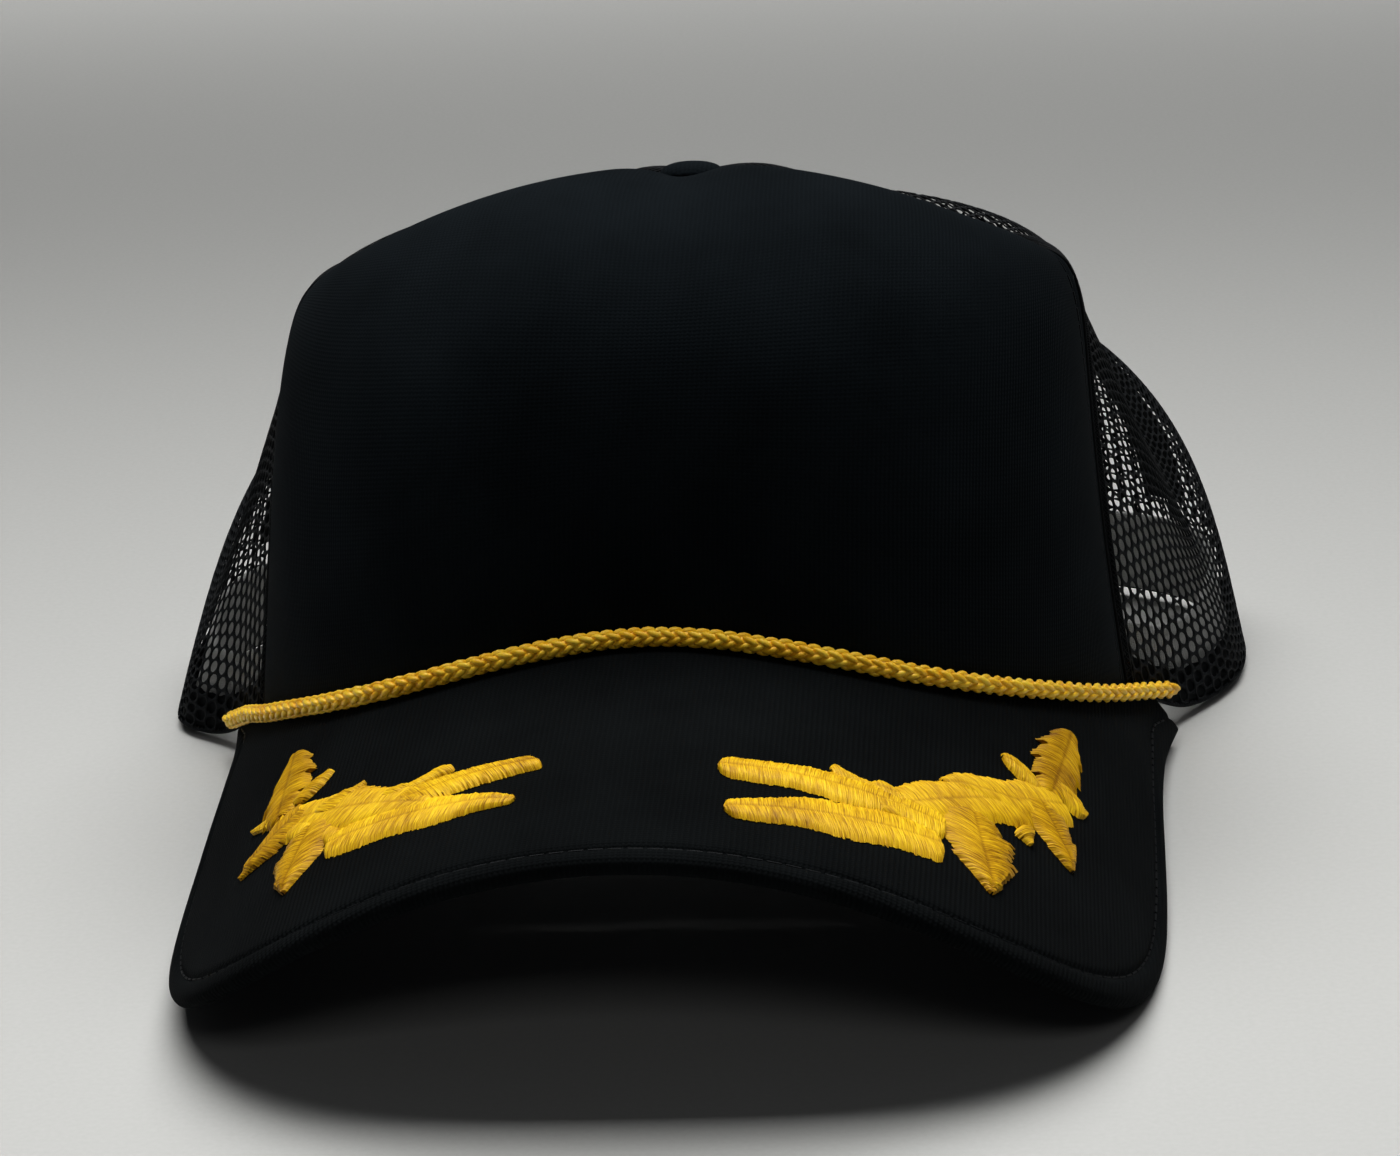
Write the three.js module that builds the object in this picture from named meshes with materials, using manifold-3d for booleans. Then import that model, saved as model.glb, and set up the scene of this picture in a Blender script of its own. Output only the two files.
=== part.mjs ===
import * as THREE from "three";
import { mergeVertices } from "three/addons/utils/BufferGeometryUtils.js";
import Module from "manifold-3d";

// Trucker cap in millimetres, +Z up, the brim toward -Y.
// It rests on the hem of its mesh and on the two front corners of the brim.
// The shapes are worked out about the crown's axis, which passes through the top button.

const wasm = await Module();
wasm.setup();

// Clearance between pieces that touch
const gap = 0.3;

// Walls
const foamThickness = 3;
const meshThickness = 1.2;
const bandThickness = 1.4;
const bandHeight = 14;
const bandClear = 0.9;
const bandLift = 1.5;

// Crown: each row is a meridian, a cubic curve from the rim up to the top button.
// azimuth: degrees from the front; reach, rim: distance from the axis and height of the rim
// lean, rise: how far the first handle leans out from the rim and rises over it
// run, drop: the second handle's distance from the axis and its depth under the crown's top
const crownTop = 110.4;
const crownColumns = ["azimuth", "reach", "rim", "lean", "rise", "run", "drop"];
const crownRows = [
  [0, 93, 48.5, -2, 68, 60, -26.5],
  [26, 99.5, 39.5, -2, 80, 55.7, -29],
  [50, 92.5, 24.5, -3, 97.5, 71, -16.3],
  [76, 86.5, 12.5, -18.5, 126, 97, 26.5],
  [90, 96, 0.8, -16, 117.5, 58.3, 2.7],
  [104, 111.2, 0, -18, 60, 53.4, -8],
  [126, 121, 0, 7.3, 68, 50, 26],
  [150, 98, 0, -6, 68, 62, -1],
  [180, 88, 0, 0, 68, 57.5, -1],
];
// The cap lies a little twisted: the mesh's foot is pushed forward, less so on the wearer's left
const twist = { skew: 0.071, forward: 12.5, from: 84, full: 110, until: 126, end: 148 };
// Its soft top leans over to the wearer's left, all of it above the climb given here
const sway = { across: 3.6, fullClimb: 0.6 };
const frontSeam = 76;
const sideSeam = 128;
const eyeRadius = 4;
const frontColumns = 22;
const sideColumns = 8;
const panelRows = 13;

// Brim: a sheet that slopes down to the front and falls away to both sides
const brimThickness = 3.6;
const brimClear = 0.7;
const brimSlope = 0.104;
const brimHeight = 52.2;
const brimFalls = [{ x: 40, fall: 7.9 }, { x: 86, fall: 44.9 }];
// The tips are pulled down a little more, all along the side from the given y
const brimTip = { halfWidth: 92.8, y: -13.5, azimuth: 81, drop: 2.2, dropFrom: -60 };
const brimCorner = { halfWidth: 89, y: -68 };
// The outer edge lies this far to the wearer's left
const brimAcross = 1.4;
const brimFront = -172;
const brimSquareness = 4.2;
const grooveInset = 4.5;
const grooveDepth = 0.5;
// Where the brim is narrower than this, at its tips, it also thins to a share of its thickness
const brimFullWidth = 12;
const brimTipShare = 0.5;

// Rope along the foot of the front panel
const ropeRadius = 1.75;
const ropeEnd = 86;
// Over the crease at the front seam it runs straighter, this far off the panel
const ropeBridge = { out: 1.4, within: 16 };

// Button over the point where the panels meet
const buttonRadius = 6.5;
const buttonHeight = 3.2;
const stemRadius = 2.5;
const stemLength = 5;

// Half-moon opening at the back, with its binding and the two snap straps
const openingHalfWidth = 38;
const openingHeight = 47;
const bindingWidth = 6;
const bindingOut = 0.6;
const bindingIn = 1.5;
const strapThickness = 1.2;
const strapBottom = 2;
const strapTop = 20;
const strapStart = 150.5;
const strapPast = 22;
// Snaps: a row of holes in one strap and of pegs on the other, starting this far past the middle
const snapPitch = 9;
const snapCount = 6;
const snapsPast = 18;
const pegRadius = 1.6;
const pegStandsOut = 0.6;
const holeRadius = 2;

// Embroidery: a leaf spray of satin strokes on each half, given on the flat sheet of the brim.
// across, y: where a stroke starts; toAcross, toY: where it ends
// start, middle, end: its half widths
const stitchHeight = 1.2;
const strokeColumns = ["across", "y", "toAcross", "toY", "start", "middle", "end"];
const strokesLeft = [
  [77, -104, 43.5, -139.5, 4.5, 6, 3.5],
  [51, -145, 18, -153, 5, 5.5, 3],
  [51.5, -137.5, 16.5, -139, 5, 4.5, 3.5],
  [45.5, -135, 35, -133.5, 2.5, 1.5, 2.5],
  [45, -134.5, 42, -134, 2.5, 3, 2],
  [67, -114.5, 54, -121.5, 5, 4, 1],
  [72.5, -102, 66.5, -100.5, 2, 3, 2],
  [76, -100.5, 80.5, -73, 3, 6, 2.5],
  [79.5, -97.5, 84.5, -97.5, 4, 3, 0.5],
  [75, -111.5, 80.5, -122, 6.5, 6, 2],
  [70.5, -122.5, 71.5, -124.5, 3, 2, 1],
  [60, -132, 63.5, -150, 7, 8, 1.5],
];
const strokesRight = [
  [-67.5, -116.5, -37, -139.5, 4.5, 6, 3.5],
  [-53, -139, -20, -147.5, 4, 5, 1.5],
  [-71, -114.5, -54.5, -135.5, 2.5, 2.5, 2],
  [-38.5, -136, -17.5, -135.5, 4, 3.5, 2.5],
  [-42, -131.5, -33.5, -129.5, 1.5, 1.5, 2],
  [-44.5, -131.5, -41.5, -130.5, 2, 2.5, 2],
  [-57, -122.5, -50.5, -120.5, 4.5, 2.5, 0.5],
  [-66, -109.5, -61, -106, 2.5, 2.5, 1.5],
  [-71, -108.5, -71.5, -86.5, 4.5, 6.5, 3],
  [-72.5, -108.5, -79.5, -104.5, 2, 1.5, 0.5],
  [-69, -118, -78.5, -122, 8.5, 5.5, 1],
  [-61, -129.5, -63.5, -145, 6, 7, 1.5],
];
// A stroke's ends run on by a share of their half width and narrow to a share of it
const strokeEnd = { past: 0.6, narrowed: 0.55 };
// Its ridge falls to a shoulder, given as shares of the half width and the height
const strokeShoulder = { out: 0.86, up: 0.7 };
const longStroke = 15;

const colours = {
  foamCloth: { color: 0x15171b, roughness: 0.95 },
  net: { color: 0x17191d, roughness: 0.9 },
  brimCloth: { color: 0x17191e, roughness: 0.95 },
  tape: { color: 0x131418, roughness: 0.92 },
  goldRope: { color: 0xc98f1c, roughness: 0.55 },
  goldThread: { color: 0xd9a21f, roughness: 0.5 },
  plastic: { color: 0x0e0f11, roughness: 0.4 },
};

const degree = Math.PI / 180;
const { cos, sin, abs, min, max, asin, hypot, PI } = Math;
const mix = (from, to, share) => from + (to - from) * share;

// Smooth columns of the crown's table, with a crease at the front seam

function tableOf(rows, columns) {
  return rows.map((row) => Object.fromEntries(columns.map((name, i) => [name, row[i]])));
}

const meridians = tableOf(crownRows, crownColumns);

function crownSlopes(name) {
  const step = meridians.slice(1).map((row, i) => {
    const span = row.azimuth - meridians[i].azimuth;
    return { span, slope: (row[name] - meridians[i][name]) / span };
  });
  const before = meridians.map(() => 0);
  for (let i = 1; i < step.length; i += 1) {
    const [a, b] = [step[i - 1], step[i]];
    before[i] = (b.span * a.slope + a.span * b.slope) / (a.span + b.span);
  }
  const after = [...before];
  const seam = meridians.findIndex((row) => row.azimuth === frontSeam);
  if (name !== "rim") {
    before[seam] = 1.5 * step[seam - 1].slope - 0.5 * before[seam - 1];
    after[seam] = 1.5 * step[seam].slope - 0.5 * after[seam + 1];
  }
  return { before, after };
}

const slopes = Object.fromEntries(crownColumns.slice(1).map((name) => [name, crownSlopes(name)]));

function crownValue(name, azimuth) {
  const turned = abs(((azimuth + 540) % 360) - 180);
  const next = meridians.findIndex((row) => row.azimuth > turned);
  const i = (next < 0 ? meridians.length - 1 : next) - 1;
  const [a, b] = [meridians[i], meridians[i + 1]];
  const span = b.azimuth - a.azimuth;
  const k = (turned - a.azimuth) / span;
  const fromA = (1 + 2 * k) * (1 - k) ** 2 * a[name] + k * (1 - k) ** 2 * span * slopes[name].after[i];
  const fromB = k * k * (3 - 2 * k) * b[name] + k * k * (k - 1) * span * slopes[name].before[i + 1];
  return fromA + fromB;
}

// A point of the crown's outer face: azimuth in degrees, climb 0 at the rim and 1 at the axis
function crownProfile(azimuth, climb) {
  const [reach, rim] = [crownValue("reach", azimuth), crownValue("rim", azimuth)];
  const [lean, rise] = [crownValue("lean", azimuth), crownValue("rise", azimuth)];
  const [run, drop] = [crownValue("run", azimuth), crownValue("drop", azimuth)];
  const left = 1 - climb;
  const [b0, b1, b2, b3] = [left ** 3, 3 * climb * left ** 2, 3 * climb ** 2 * left, climb ** 3];
  return {
    out: b0 * reach + b1 * (reach + lean) + b2 * run,
    z: b0 * rim + b1 * (rim + rise) + b2 * (crownTop - drop) + b3 * crownTop,
  };
}

// How far the foot of the mesh is twisted where the cap lies, fading out at both seams and upward
function twistShare(azimuth, climb) {
  const turned = abs(azimuth);
  const rises = THREE.MathUtils.smoothstep(turned, twist.from, twist.full);
  const fades = THREE.MathUtils.smoothstep(turned, twist.until, twist.end);
  return rises * (1 - fades) * (1 - climb) ** 2;
}

const swayAt = (climb) => sway.across * THREE.MathUtils.smoothstep(climb, 0, sway.fullClimb);

function crownPoint(azimuth, climb) {
  const { out, z } = crownProfile(azimuth, climb);
  const share = twistShare(azimuth, climb);
  const x = out * sin(azimuth * degree);
  const y = (twist.skew * x - twist.forward) * share - out * cos(azimuth * degree);
  return new THREE.Vector3(x + swayAt(climb), y, z);
}

function crownNormal(azimuth, climb) {
  const turn = 0.4;
  const step = 0.004;
  const across = crownPoint(azimuth + turn, climb).sub(crownPoint(azimuth - turn, climb));
  const up = crownPoint(azimuth, climb + step).sub(crownPoint(azimuth, climb - step));
  return across.cross(up).normalize();
}

function crownOffset(azimuth, climb, out) {
  return crownPoint(azimuth, climb).addScaledVector(crownNormal(azimuth, climb), out);
}

// The climb at which a measure that grows with it passes a value
function solveClimb(measure, value, from, to) {
  let [low, high] = [from, to];
  for (let i = 0; i < 24; i += 1) {
    const middle = (low + high) / 2;
    if (measure(middle) < value) low = middle;
    else high = middle;
  }
  return (low + high) / 2;
}

const climbAtRadius = (azimuth, radius) =>
  solveClimb((climb) => -crownProfile(azimuth, climb).out, -radius, 0.5, 1);
const climbAtHeight = (azimuth, z) =>
  solveClimb((climb) => crownProfile(azimuth, climb).z, z, 0, 0.5);

// Solids

// Closes rings of equal length into one body; rings run in order and each turns the same way
function loft(rings) {
  const size = rings[0].length;
  const positions = rings.flat().flatMap((point) => point.toArray());
  const faces = [];
  for (let i = 0; i < rings.length - 1; i += 1) {
    for (let j = 0; j < size; j += 1) {
      const side = (j + 1) % size;
      const [a, b, c, d] = [i * size + j, i * size + side, (i + 1) * size + side, (i + 1) * size + j];
      faces.push(a, b, c, a, c, d);
    }
  }
  const last = (rings.length - 1) * size;
  for (const [a, b, c] of stripTriangles(size)) {
    faces.push(a, c, b, last + a, last + b, last + c);
  }
  return outward(geometryOf(positions, faces));
}

// An end face as a strip between the ring's first half and its second
function stripTriangles(size) {
  const faces = [];
  for (let i = 0; i < (size - 2) / 2; i += 1) {
    const far = size - 1 - i;
    faces.push([i, i + 1, far]);
    if (i + 1 < far - 1) faces.push([i + 1, far - 1, far]);
  }
  return faces;
}

function geometryOf(positions, faces) {
  const geometry = new THREE.BufferGeometry();
  geometry.setAttribute("position", new THREE.Float32BufferAttribute(positions, 3));
  geometry.setIndex(faces);
  return geometry;
}

function volumeOf(geometry) {
  const p = geometry.getAttribute("position");
  const index = geometry.getIndex();
  const [a, b, c] = [new THREE.Vector3(), new THREE.Vector3(), new THREE.Vector3()];
  let sum = 0;
  for (let i = 0; i < index.count; i += 3) {
    a.fromBufferAttribute(p, index.getX(i));
    b.fromBufferAttribute(p, index.getX(i + 1));
    c.fromBufferAttribute(p, index.getX(i + 2));
    sum += a.dot(b.cross(c)) / 6;
  }
  return sum;
}

// Turns the faces of a closed body to the outside
function outward(geometry) {
  if (volumeOf(geometry) < 0) geometry.getIndex().array.reverse();
  return geometry;
}

function solidOf(geometry) {
  const bare = geometry.clone();
  for (const name of ["normal", "uv"]) bare.deleteAttribute(name);
  const merged = mergeVertices(bare, 1e-4);
  const mesh = new wasm.Mesh({
    numProp: 3,
    vertProperties: new Float32Array(merged.getAttribute("position").array),
    triVerts: new Uint32Array(merged.getIndex().array),
  });
  return new wasm.Manifold(mesh);
}

function geometryFrom(solid) {
  const mesh = solid.getMesh();
  return geometryOf(Array.from(mesh.vertProperties), Array.from(mesh.triVerts));
}

function joinAll(geometries) {
  return geometries.map(solidOf).reduce((sum, solid) => sum.add(solid));
}

const spread = (count) => Array.from({ length: count + 1 }, (_, i) => i / count);

// A wall on the crown: columns go round it, rows climb it, faces lie at the two offsets
function crownWall({ azimuths, climbs, outer, inner }) {
  const rings = azimuths.map((azimuth) => {
    const steps = climbs(azimuth);
    const turned = (climb) => {
      const clear = azimuth.clear ? (azimuth.clear * gap) / 2 / crownProfile(azimuth.at, climb).out : 0;
      return azimuth.at + clear / degree;
    };
    const face = (offset) => steps.map((climb) => crownOffset(turned(climb), climb, offset(azimuth.at)));
    return [...face(outer), ...face(inner).reverse()];
  });
  return loft(rings);
}

// Azimuths from one seam to the next, each end half a gap clear of its seam
function between(from, to, count) {
  return spread(count).map((share) => {
    const clear = share === 0 ? 1 : share === 1 ? -1 : 0;
    return { at: mix(from, to, share), clear };
  });
}

function panel(from, to, columns, thickness) {
  return crownWall({
    azimuths: between(from, to, columns),
    climbs: ({ at }) => {
      const top = climbAtRadius(at, eyeRadius);
      return spread(panelRows).map((share) => top * share);
    },
    outer: () => 0,
    inner: () => -thickness,
  });
}

// Pieces of the crown

function frontPanel() {
  return panel(-frontSeam, frontSeam, frontColumns, foamThickness);
}

function sidePanel(side) {
  const ends = side > 0 ? [frontSeam, sideSeam] : [-sideSeam, -frontSeam];
  return panel(...ends, sideColumns, meshThickness);
}

function archShape(halfWidth, height) {
  const shape = new THREE.Shape();
  shape.moveTo(-halfWidth, -height);
  shape.lineTo(halfWidth, -height);
  shape.lineTo(halfWidth, 0);
  shape.absellipse(0, 0, halfWidth, height, 0, PI);
  shape.lineTo(-halfWidth, -height);
  return shape;
}

function backPanel(side) {
  const ends = side > 0 ? [sideSeam, 180] : [-180, -sideSeam];
  const clear = bindingWidth + gap;
  const shape = archShape(openingHalfWidth + clear, openingHeight + clear);
  const [deepest, nearest] = [120, 40];
  const settings = { depth: deepest - nearest, bevelEnabled: false, curveSegments: 14 };
  const cutter = new THREE.ExtrudeGeometry(shape, settings);
  cutter.rotateX(PI / 2);
  cutter.translate(0, deepest, 0);
  return geometryFrom(solidOf(panel(...ends, sideColumns, meshThickness)).subtract(solidOf(cutter)));
}

// The point of the back whose x and height are given, moved out by an offset
function backPoint(x, z, out) {
  let azimuth = 180;
  let climb = 0;
  for (let i = 0; i < 20; i += 1) {
    climb = climbAtHeight(azimuth, z);
    azimuth = 180 - asin((x - swayAt(climb)) / crownProfile(azimuth, climb).out) / degree;
  }
  return crownOffset(azimuth, climb, out);
}

function openingBinding() {
  const turns = 22;
  const rings = spread(turns).map((share) => {
    const [across, up] = [cos(PI * share), sin(PI * share)];
    const at = (width, out) =>
      backPoint((openingHalfWidth + width) * across, (openingHeight + width) * up, out);
    const middle = bindingWidth / 2;
    const edge = 0.4;
    return [
      at(0, bindingOut * edge),
      at(middle, bindingOut),
      at(bindingWidth, bindingOut * edge),
      at(bindingWidth, -bindingIn),
      at(0, -bindingIn),
    ];
  });
  return loft(rings);
}

// The band lies inside the foam in front and inside the mesh behind the seam
function bandDepth(azimuth) {
  const column = (sideSeam - frontSeam) / sideColumns;
  const share = min(1, max(0, (abs(azimuth) - frontSeam) / column - 1));
  return mix(foamThickness, meshThickness, share) + bandClear;
}

// It keeps the panels' own columns, and stops short of the opening's binding
function sweatband() {
  const column = (sideSeam - frontSeam) / sideColumns;
  const columnsBehind = sideColumns + 3;
  const behind = Array.from({ length: columnsBehind }, (_, i) => frontSeam + (i + 1) * column);
  const front = spread(frontColumns).map((share) => mix(-frontSeam, frontSeam, share));
  const azimuths = [...behind.map((at) => -at).reverse(), ...front, ...behind];
  return crownWall({
    azimuths: azimuths.map((at) => ({ at, clear: 0 })),
    climbs: ({ at }) => {
      const rim = crownValue("rim", at);
      const foot = climbAtHeight(at, rim + bandLift);
      const top = climbAtHeight(at, rim + bandLift + bandHeight);
      return [foot, (foot + top) / 2, top];
    },
    outer: (azimuth) => -bandDepth(azimuth),
    inner: (azimuth) => -bandDepth(azimuth) - bandThickness,
  });
}

function topButton() {
  const profile = [
    [0, -stemLength],
    [stemRadius, -stemLength],
    [stemRadius, 0],
    [buttonRadius, 0],
    [buttonRadius * 0.97, buttonHeight * 0.35],
    [buttonRadius * 0.8, buttonHeight * 0.72],
    [buttonRadius * 0.45, buttonHeight * 0.94],
    [0, buttonHeight],
  ];
  const geometry = new THREE.LatheGeometry(profile.map(([r, z]) => new THREE.Vector2(r, z)), 20);
  geometry.rotateX(PI / 2);
  // It leans with the crown, and its rim lies just clear of the highest panel under it
  const rimPoint = (azimuth) => crownPoint(azimuth, climbAtRadius(azimuth, buttonRadius));
  const tilt = (rimPoint(0).z - rimPoint(180).z) / (2 * buttonRadius);
  const high = spread(24).map((share) => {
    const point = rimPoint(share * 360);
    return point.z + point.y * tilt;
  });
  geometry.rotateX(-Math.atan(tilt));
  geometry.translate(sway.across, 0, max(...high) + gap);
  return geometry;
}

// Brim

// The fall to the side is a square and a fourth power of x through the two given falls
const [nearFall, farFall] = brimFalls;
const fourthPower = (farFall.fall / farFall.x ** 2 - nearFall.fall / nearFall.x ** 2)
  / (farFall.x ** 2 - nearFall.x ** 2);
const squarePower = nearFall.fall / nearFall.x ** 2 - fourthPower * nearFall.x ** 2;

const brimFall = (x) => squarePower * x ** 2 + fourthPower * x ** 4;
const brimLean = (x) => 2 * squarePower * x + 4 * fourthPower * x ** 3;
const tipDrop = (x, y) => brimTip.drop * (x / brimTip.halfWidth) ** 2
  * THREE.MathUtils.smoothstep(y, brimTip.dropFrom, brimTip.y);
const brimSurface = (x, y) =>
  brimHeight + brimSlope * (y + meridians[0].reach) - brimFall(x) - tipDrop(x, y);
const brimNormal = (x) => new THREE.Vector3(brimLean(x), -brimSlope, 1).normalize();

// A point at a height over the brim's upper face
function brimPoint(x, y, height) {
  return new THREE.Vector3(x, y, brimSurface(x, y)).addScaledVector(brimNormal(x), height);
}

// The x that lies a given distance from the middle, measured over the bent sheet
function bentAcross(across) {
  const steps = 40;
  return spread(steps - 1).reduce((x) => x + across / steps / hypot(1, brimLean(x)), 0);
}

// Right half of the brim's outer edge, from the tip along the side and round the corner to the front
function brimOutline() {
  const side = spread(8).slice(0, -1).map((share) => {
    const left = 1 - share;
    const x = mix(brimCorner.halfWidth, brimTip.halfWidth, left * left);
    return new THREE.Vector2(x, mix(brimCorner.y, brimTip.y, left));
  });
  const round = spread(30).map((share) => {
    const [across, ahead] = [cos((share * PI) / 2), sin((share * PI) / 2)];
    const size = (across ** brimSquareness + ahead ** brimSquareness) ** (-1 / brimSquareness);
    const y = mix(brimCorner.y, brimFront, ahead * size);
    return new THREE.Vector2(brimCorner.halfWidth * across * size, y);
  });
  return new THREE.SplineCurve([...side, ...round]);
}

// Lines across the brim from the crown to the outer edge, from one tip round to the other
function brimLines(half) {
  const outline = brimOutline();
  return spread(2 * half).map((share) => {
    const side = share < 0.5 ? -1 : 1;
    const along = 1 - abs(2 * share - 1);
    const azimuth = side * brimTip.azimuth * (1 - along);
    const out = crownValue("reach", azimuth) + brimClear;
    const { x, y } = outline.getPointAt(along);
    const from = new THREE.Vector2(out * sin(azimuth * degree), -out * cos(azimuth * degree));
    return { from, to: new THREE.Vector2(side * x + brimAcross, y) };
  });
}

// The brim cut along one line: flat faces, a stitched groove on both, and a rounded outer edge
function brimSection({ from, to }) {
  const length = from.distanceTo(to);
  const fit = min(1, length / brimFullWidth);
  const bottom = -brimThickness * mix(brimTipShare, 1, fit);
  const radius = (-bottom / 2) * fit;
  const corner = 1 - Math.SQRT1_2;
  const groove = length - grooveInset * fit;
  const at = (distance, height) => {
    const { x, y } = from.clone().lerp(to, distance / length);
    return brimPoint(x, y, height);
  };
  const flat = [0.35, 0.7, 1].map((share) => (groove - fit) * share);
  const foot = at(0, 0).add(new THREE.Vector3(0, 0, bottom));
  return [
    at(0, 0),
    ...flat.map((distance) => at(distance, 0)),
    at(groove, -grooveDepth),
    at(groove + fit, 0),
    at(length - radius, 0),
    at(length - radius * corner, -radius * corner),
    at(length, bottom / 2),
    at(length - radius * corner, bottom + radius * corner),
    at(length - radius, bottom),
    at(groove + fit, bottom),
    at(groove, bottom + grooveDepth),
    ...flat.reverse().map((distance) => at(distance, bottom)),
    foot,
  ];
}

function brim() {
  const half = 18;
  return loft(brimLines(half).map(brimSection));
}

// The rope's middle lies in the corner between the front panel and the brim
function ropePoint(azimuth) {
  const climb = 0.06;
  const wall = crownNormal(azimuth, climb);
  const fromSeam = abs(abs(azimuth) - frontSeam);
  const bridged = 1 - THREE.MathUtils.smoothstep(fromSeam, 0, ropeBridge.within);
  const reach = crownValue("reach", azimuth) + ropeBridge.out * bridged;
  const [x, y] = [reach * sin(azimuth * degree), -reach * cos(azimuth * degree)];
  const under = brimNormal(x);
  const share = (ropeRadius + gap) / (1 + wall.dot(under));
  return new THREE.Vector3(x, y, brimSurface(x, y)).add(wall.add(under).multiplyScalar(share));
}

function rope() {
  const route = spread(40).map((share) => ropePoint(mix(-ropeEnd, ropeEnd, share)));
  const section = new THREE.Shape();
  const sides = 8;
  for (let i = 0; i < sides; i += 1) {
    const turn = ((i + 0.5) / sides) * 2 * PI;
    const [x, y] = [ropeRadius * cos(turn), ropeRadius * sin(turn)];
    if (i === 0) section.moveTo(x, y);
    else section.lineTo(x, y);
  }
  section.closePath();
  const extrudePath = new THREE.CatmullRomCurve3(route);
  return new THREE.ExtrudeGeometry(section, { steps: 64, extrudePath, bevelEnabled: false });
}

// A satin stroke: a low ridge along a line on the brim, with rounded ends
function stitchStroke(stroke, order) {
  const lowest = gap + 0.02 * order;
  const top = gap + stitchHeight + 0.03 * order;
  const shoulder = mix(lowest, top, strokeShoulder.up);
  const from = new THREE.Vector2(stroke.across, stroke.y);
  const to = new THREE.Vector2(stroke.toAcross, stroke.toY);
  const along = to.clone().sub(from).normalize();
  const sideways = new THREE.Vector2(-along.y, along.x);
  const steps = from.distanceTo(to) > longStroke ? 5 : 2;
  const halfWidth = (share) => stroke.start * (2 * share - 1) * (share - 1)
    + stroke.middle * 4 * share * (1 - share) + stroke.end * share * (2 * share - 1);
  const ring = (share, past, narrowed) => {
    const middle = from.clone().lerp(to, share).addScaledVector(along, past);
    const half = halfWidth(share) * narrowed;
    const at = (offset, height) => {
      const point = middle.clone().addScaledVector(sideways, offset);
      return brimPoint(bentAcross(point.x), point.y, height);
    };
    const side = half * strokeShoulder.out;
    const foot = [at(-half, lowest), at(0, lowest), at(half, lowest)];
    return [...foot, at(side, shoulder), at(0, top), at(-side, shoulder)];
  };
  const { past, narrowed } = strokeEnd;
  const first = ring(0, -stroke.start * past, narrowed);
  const last = ring(1, stroke.end * past, narrowed);
  return loft([first, ...spread(steps).map((share) => ring(share, 0, 1)), last]);
}

const embroidery = (strokes) =>
  geometryFrom(joinAll(tableOf(strokes, strokeColumns).map(stitchStroke)));

// Snap straps

// Each strap starts at its side of the opening and runs past the middle
function strapWall(side, depth) {
  const start = backPoint(0, strapTop, 0).y;
  const past = asin(strapPast / start) / degree;
  const azimuths = spread(12).map((share) => ({ at: side * mix(strapStart, 180 + past, share), clear: 0 }));
  const wall = crownWall({
    azimuths: side > 0 ? azimuths : azimuths.reverse(),
    climbs: ({ at }) => [climbAtHeight(at, strapBottom), climbAtHeight(at, strapTop)],
    outer: () => -depth,
    inner: () => -depth - strapThickness,
  });
  return wall;
}

function snapPin(x, radius, from, to, sides) {
  const pin = new THREE.CylinderGeometry(radius, radius, to - from, sides);
  const z = (strapBottom + strapTop) / 2;
  const base = backPoint(x, z, 0);
  const out = backPoint(x, z, 1).sub(base);
  pin.translate(0, (from + to) / 2, 0);
  pin.applyQuaternion(new THREE.Quaternion().setFromUnitVectors(new THREE.Vector3(0, 1, 0), out));
  pin.translate(base.x, base.y, base.z);
  return pin;
}

const snapPlaces = Array.from({ length: snapCount }, (_, i) => i * snapPitch - snapsPast);
const holeStrapDepth = bindingIn + gap;
const pegStrapDepth = holeStrapDepth + strapThickness + gap;

function strapWithHoles() {
  const behind = holeStrapDepth + 2 * strapThickness;
  const cut = snapPlaces.map((x) => snapPin(x, holeRadius, -behind, strapThickness, 10));
  return geometryFrom(solidOf(strapWall(1, holeStrapDepth)).subtract(joinAll(cut)));
}

function strapWithPegs() {
  const foot = pegStrapDepth + strapThickness / 2;
  const head = pegStandsOut - holeStrapDepth;
  const pegs = snapPlaces.map((x) => snapPin(-x, pegRadius, -foot, head, 8));
  return geometryFrom(solidOf(strapWall(-1, pegStrapDepth)).add(joinAll(pegs)));
}

// The cap

const cap = new THREE.Group();

function addPiece(name, geometry, look) {
  const mesh = new THREE.Mesh(geometry, new THREE.MeshStandardMaterial({ ...look, metalness: 0 }));
  mesh.name = name;
  cap.add(mesh);
}

addPiece("front_panel", frontPanel(), colours.foamCloth);
addPiece("side_mesh_left", sidePanel(1), colours.net);
addPiece("side_mesh_right", sidePanel(-1), colours.net);
addPiece("back_mesh_left", backPanel(1), colours.net);
addPiece("back_mesh_right", backPanel(-1), colours.net);
addPiece("sweatband", sweatband(), colours.tape);
addPiece("opening_binding", openingBinding(), colours.tape);
addPiece("top_button", topButton(), colours.foamCloth);
addPiece("brim", brim(), colours.brimCloth);
addPiece("rope", rope(), colours.goldRope);
addPiece("embroidery_left", embroidery(strokesLeft), colours.goldThread);
addPiece("embroidery_right", embroidery(strokesRight), colours.goldThread);
addPiece("strap_with_holes", strapWithHoles(), colours.plastic);
addPiece("strap_with_pegs", strapWithPegs(), colours.plastic);

// The origin is the middle of the cap's footprint, on the surface it rests on
const box = new THREE.Box3().setFromObject(cap, true);
for (const mesh of cap.children) {
  mesh.geometry.translate(-(box.min.x + box.max.x) / 2, -(box.min.y + box.max.y) / 2, -box.min.z);
}

export default cap;
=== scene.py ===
import math

import bmesh
import bpy
import numpy as np
from mathutils import Matrix, Vector


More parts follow.
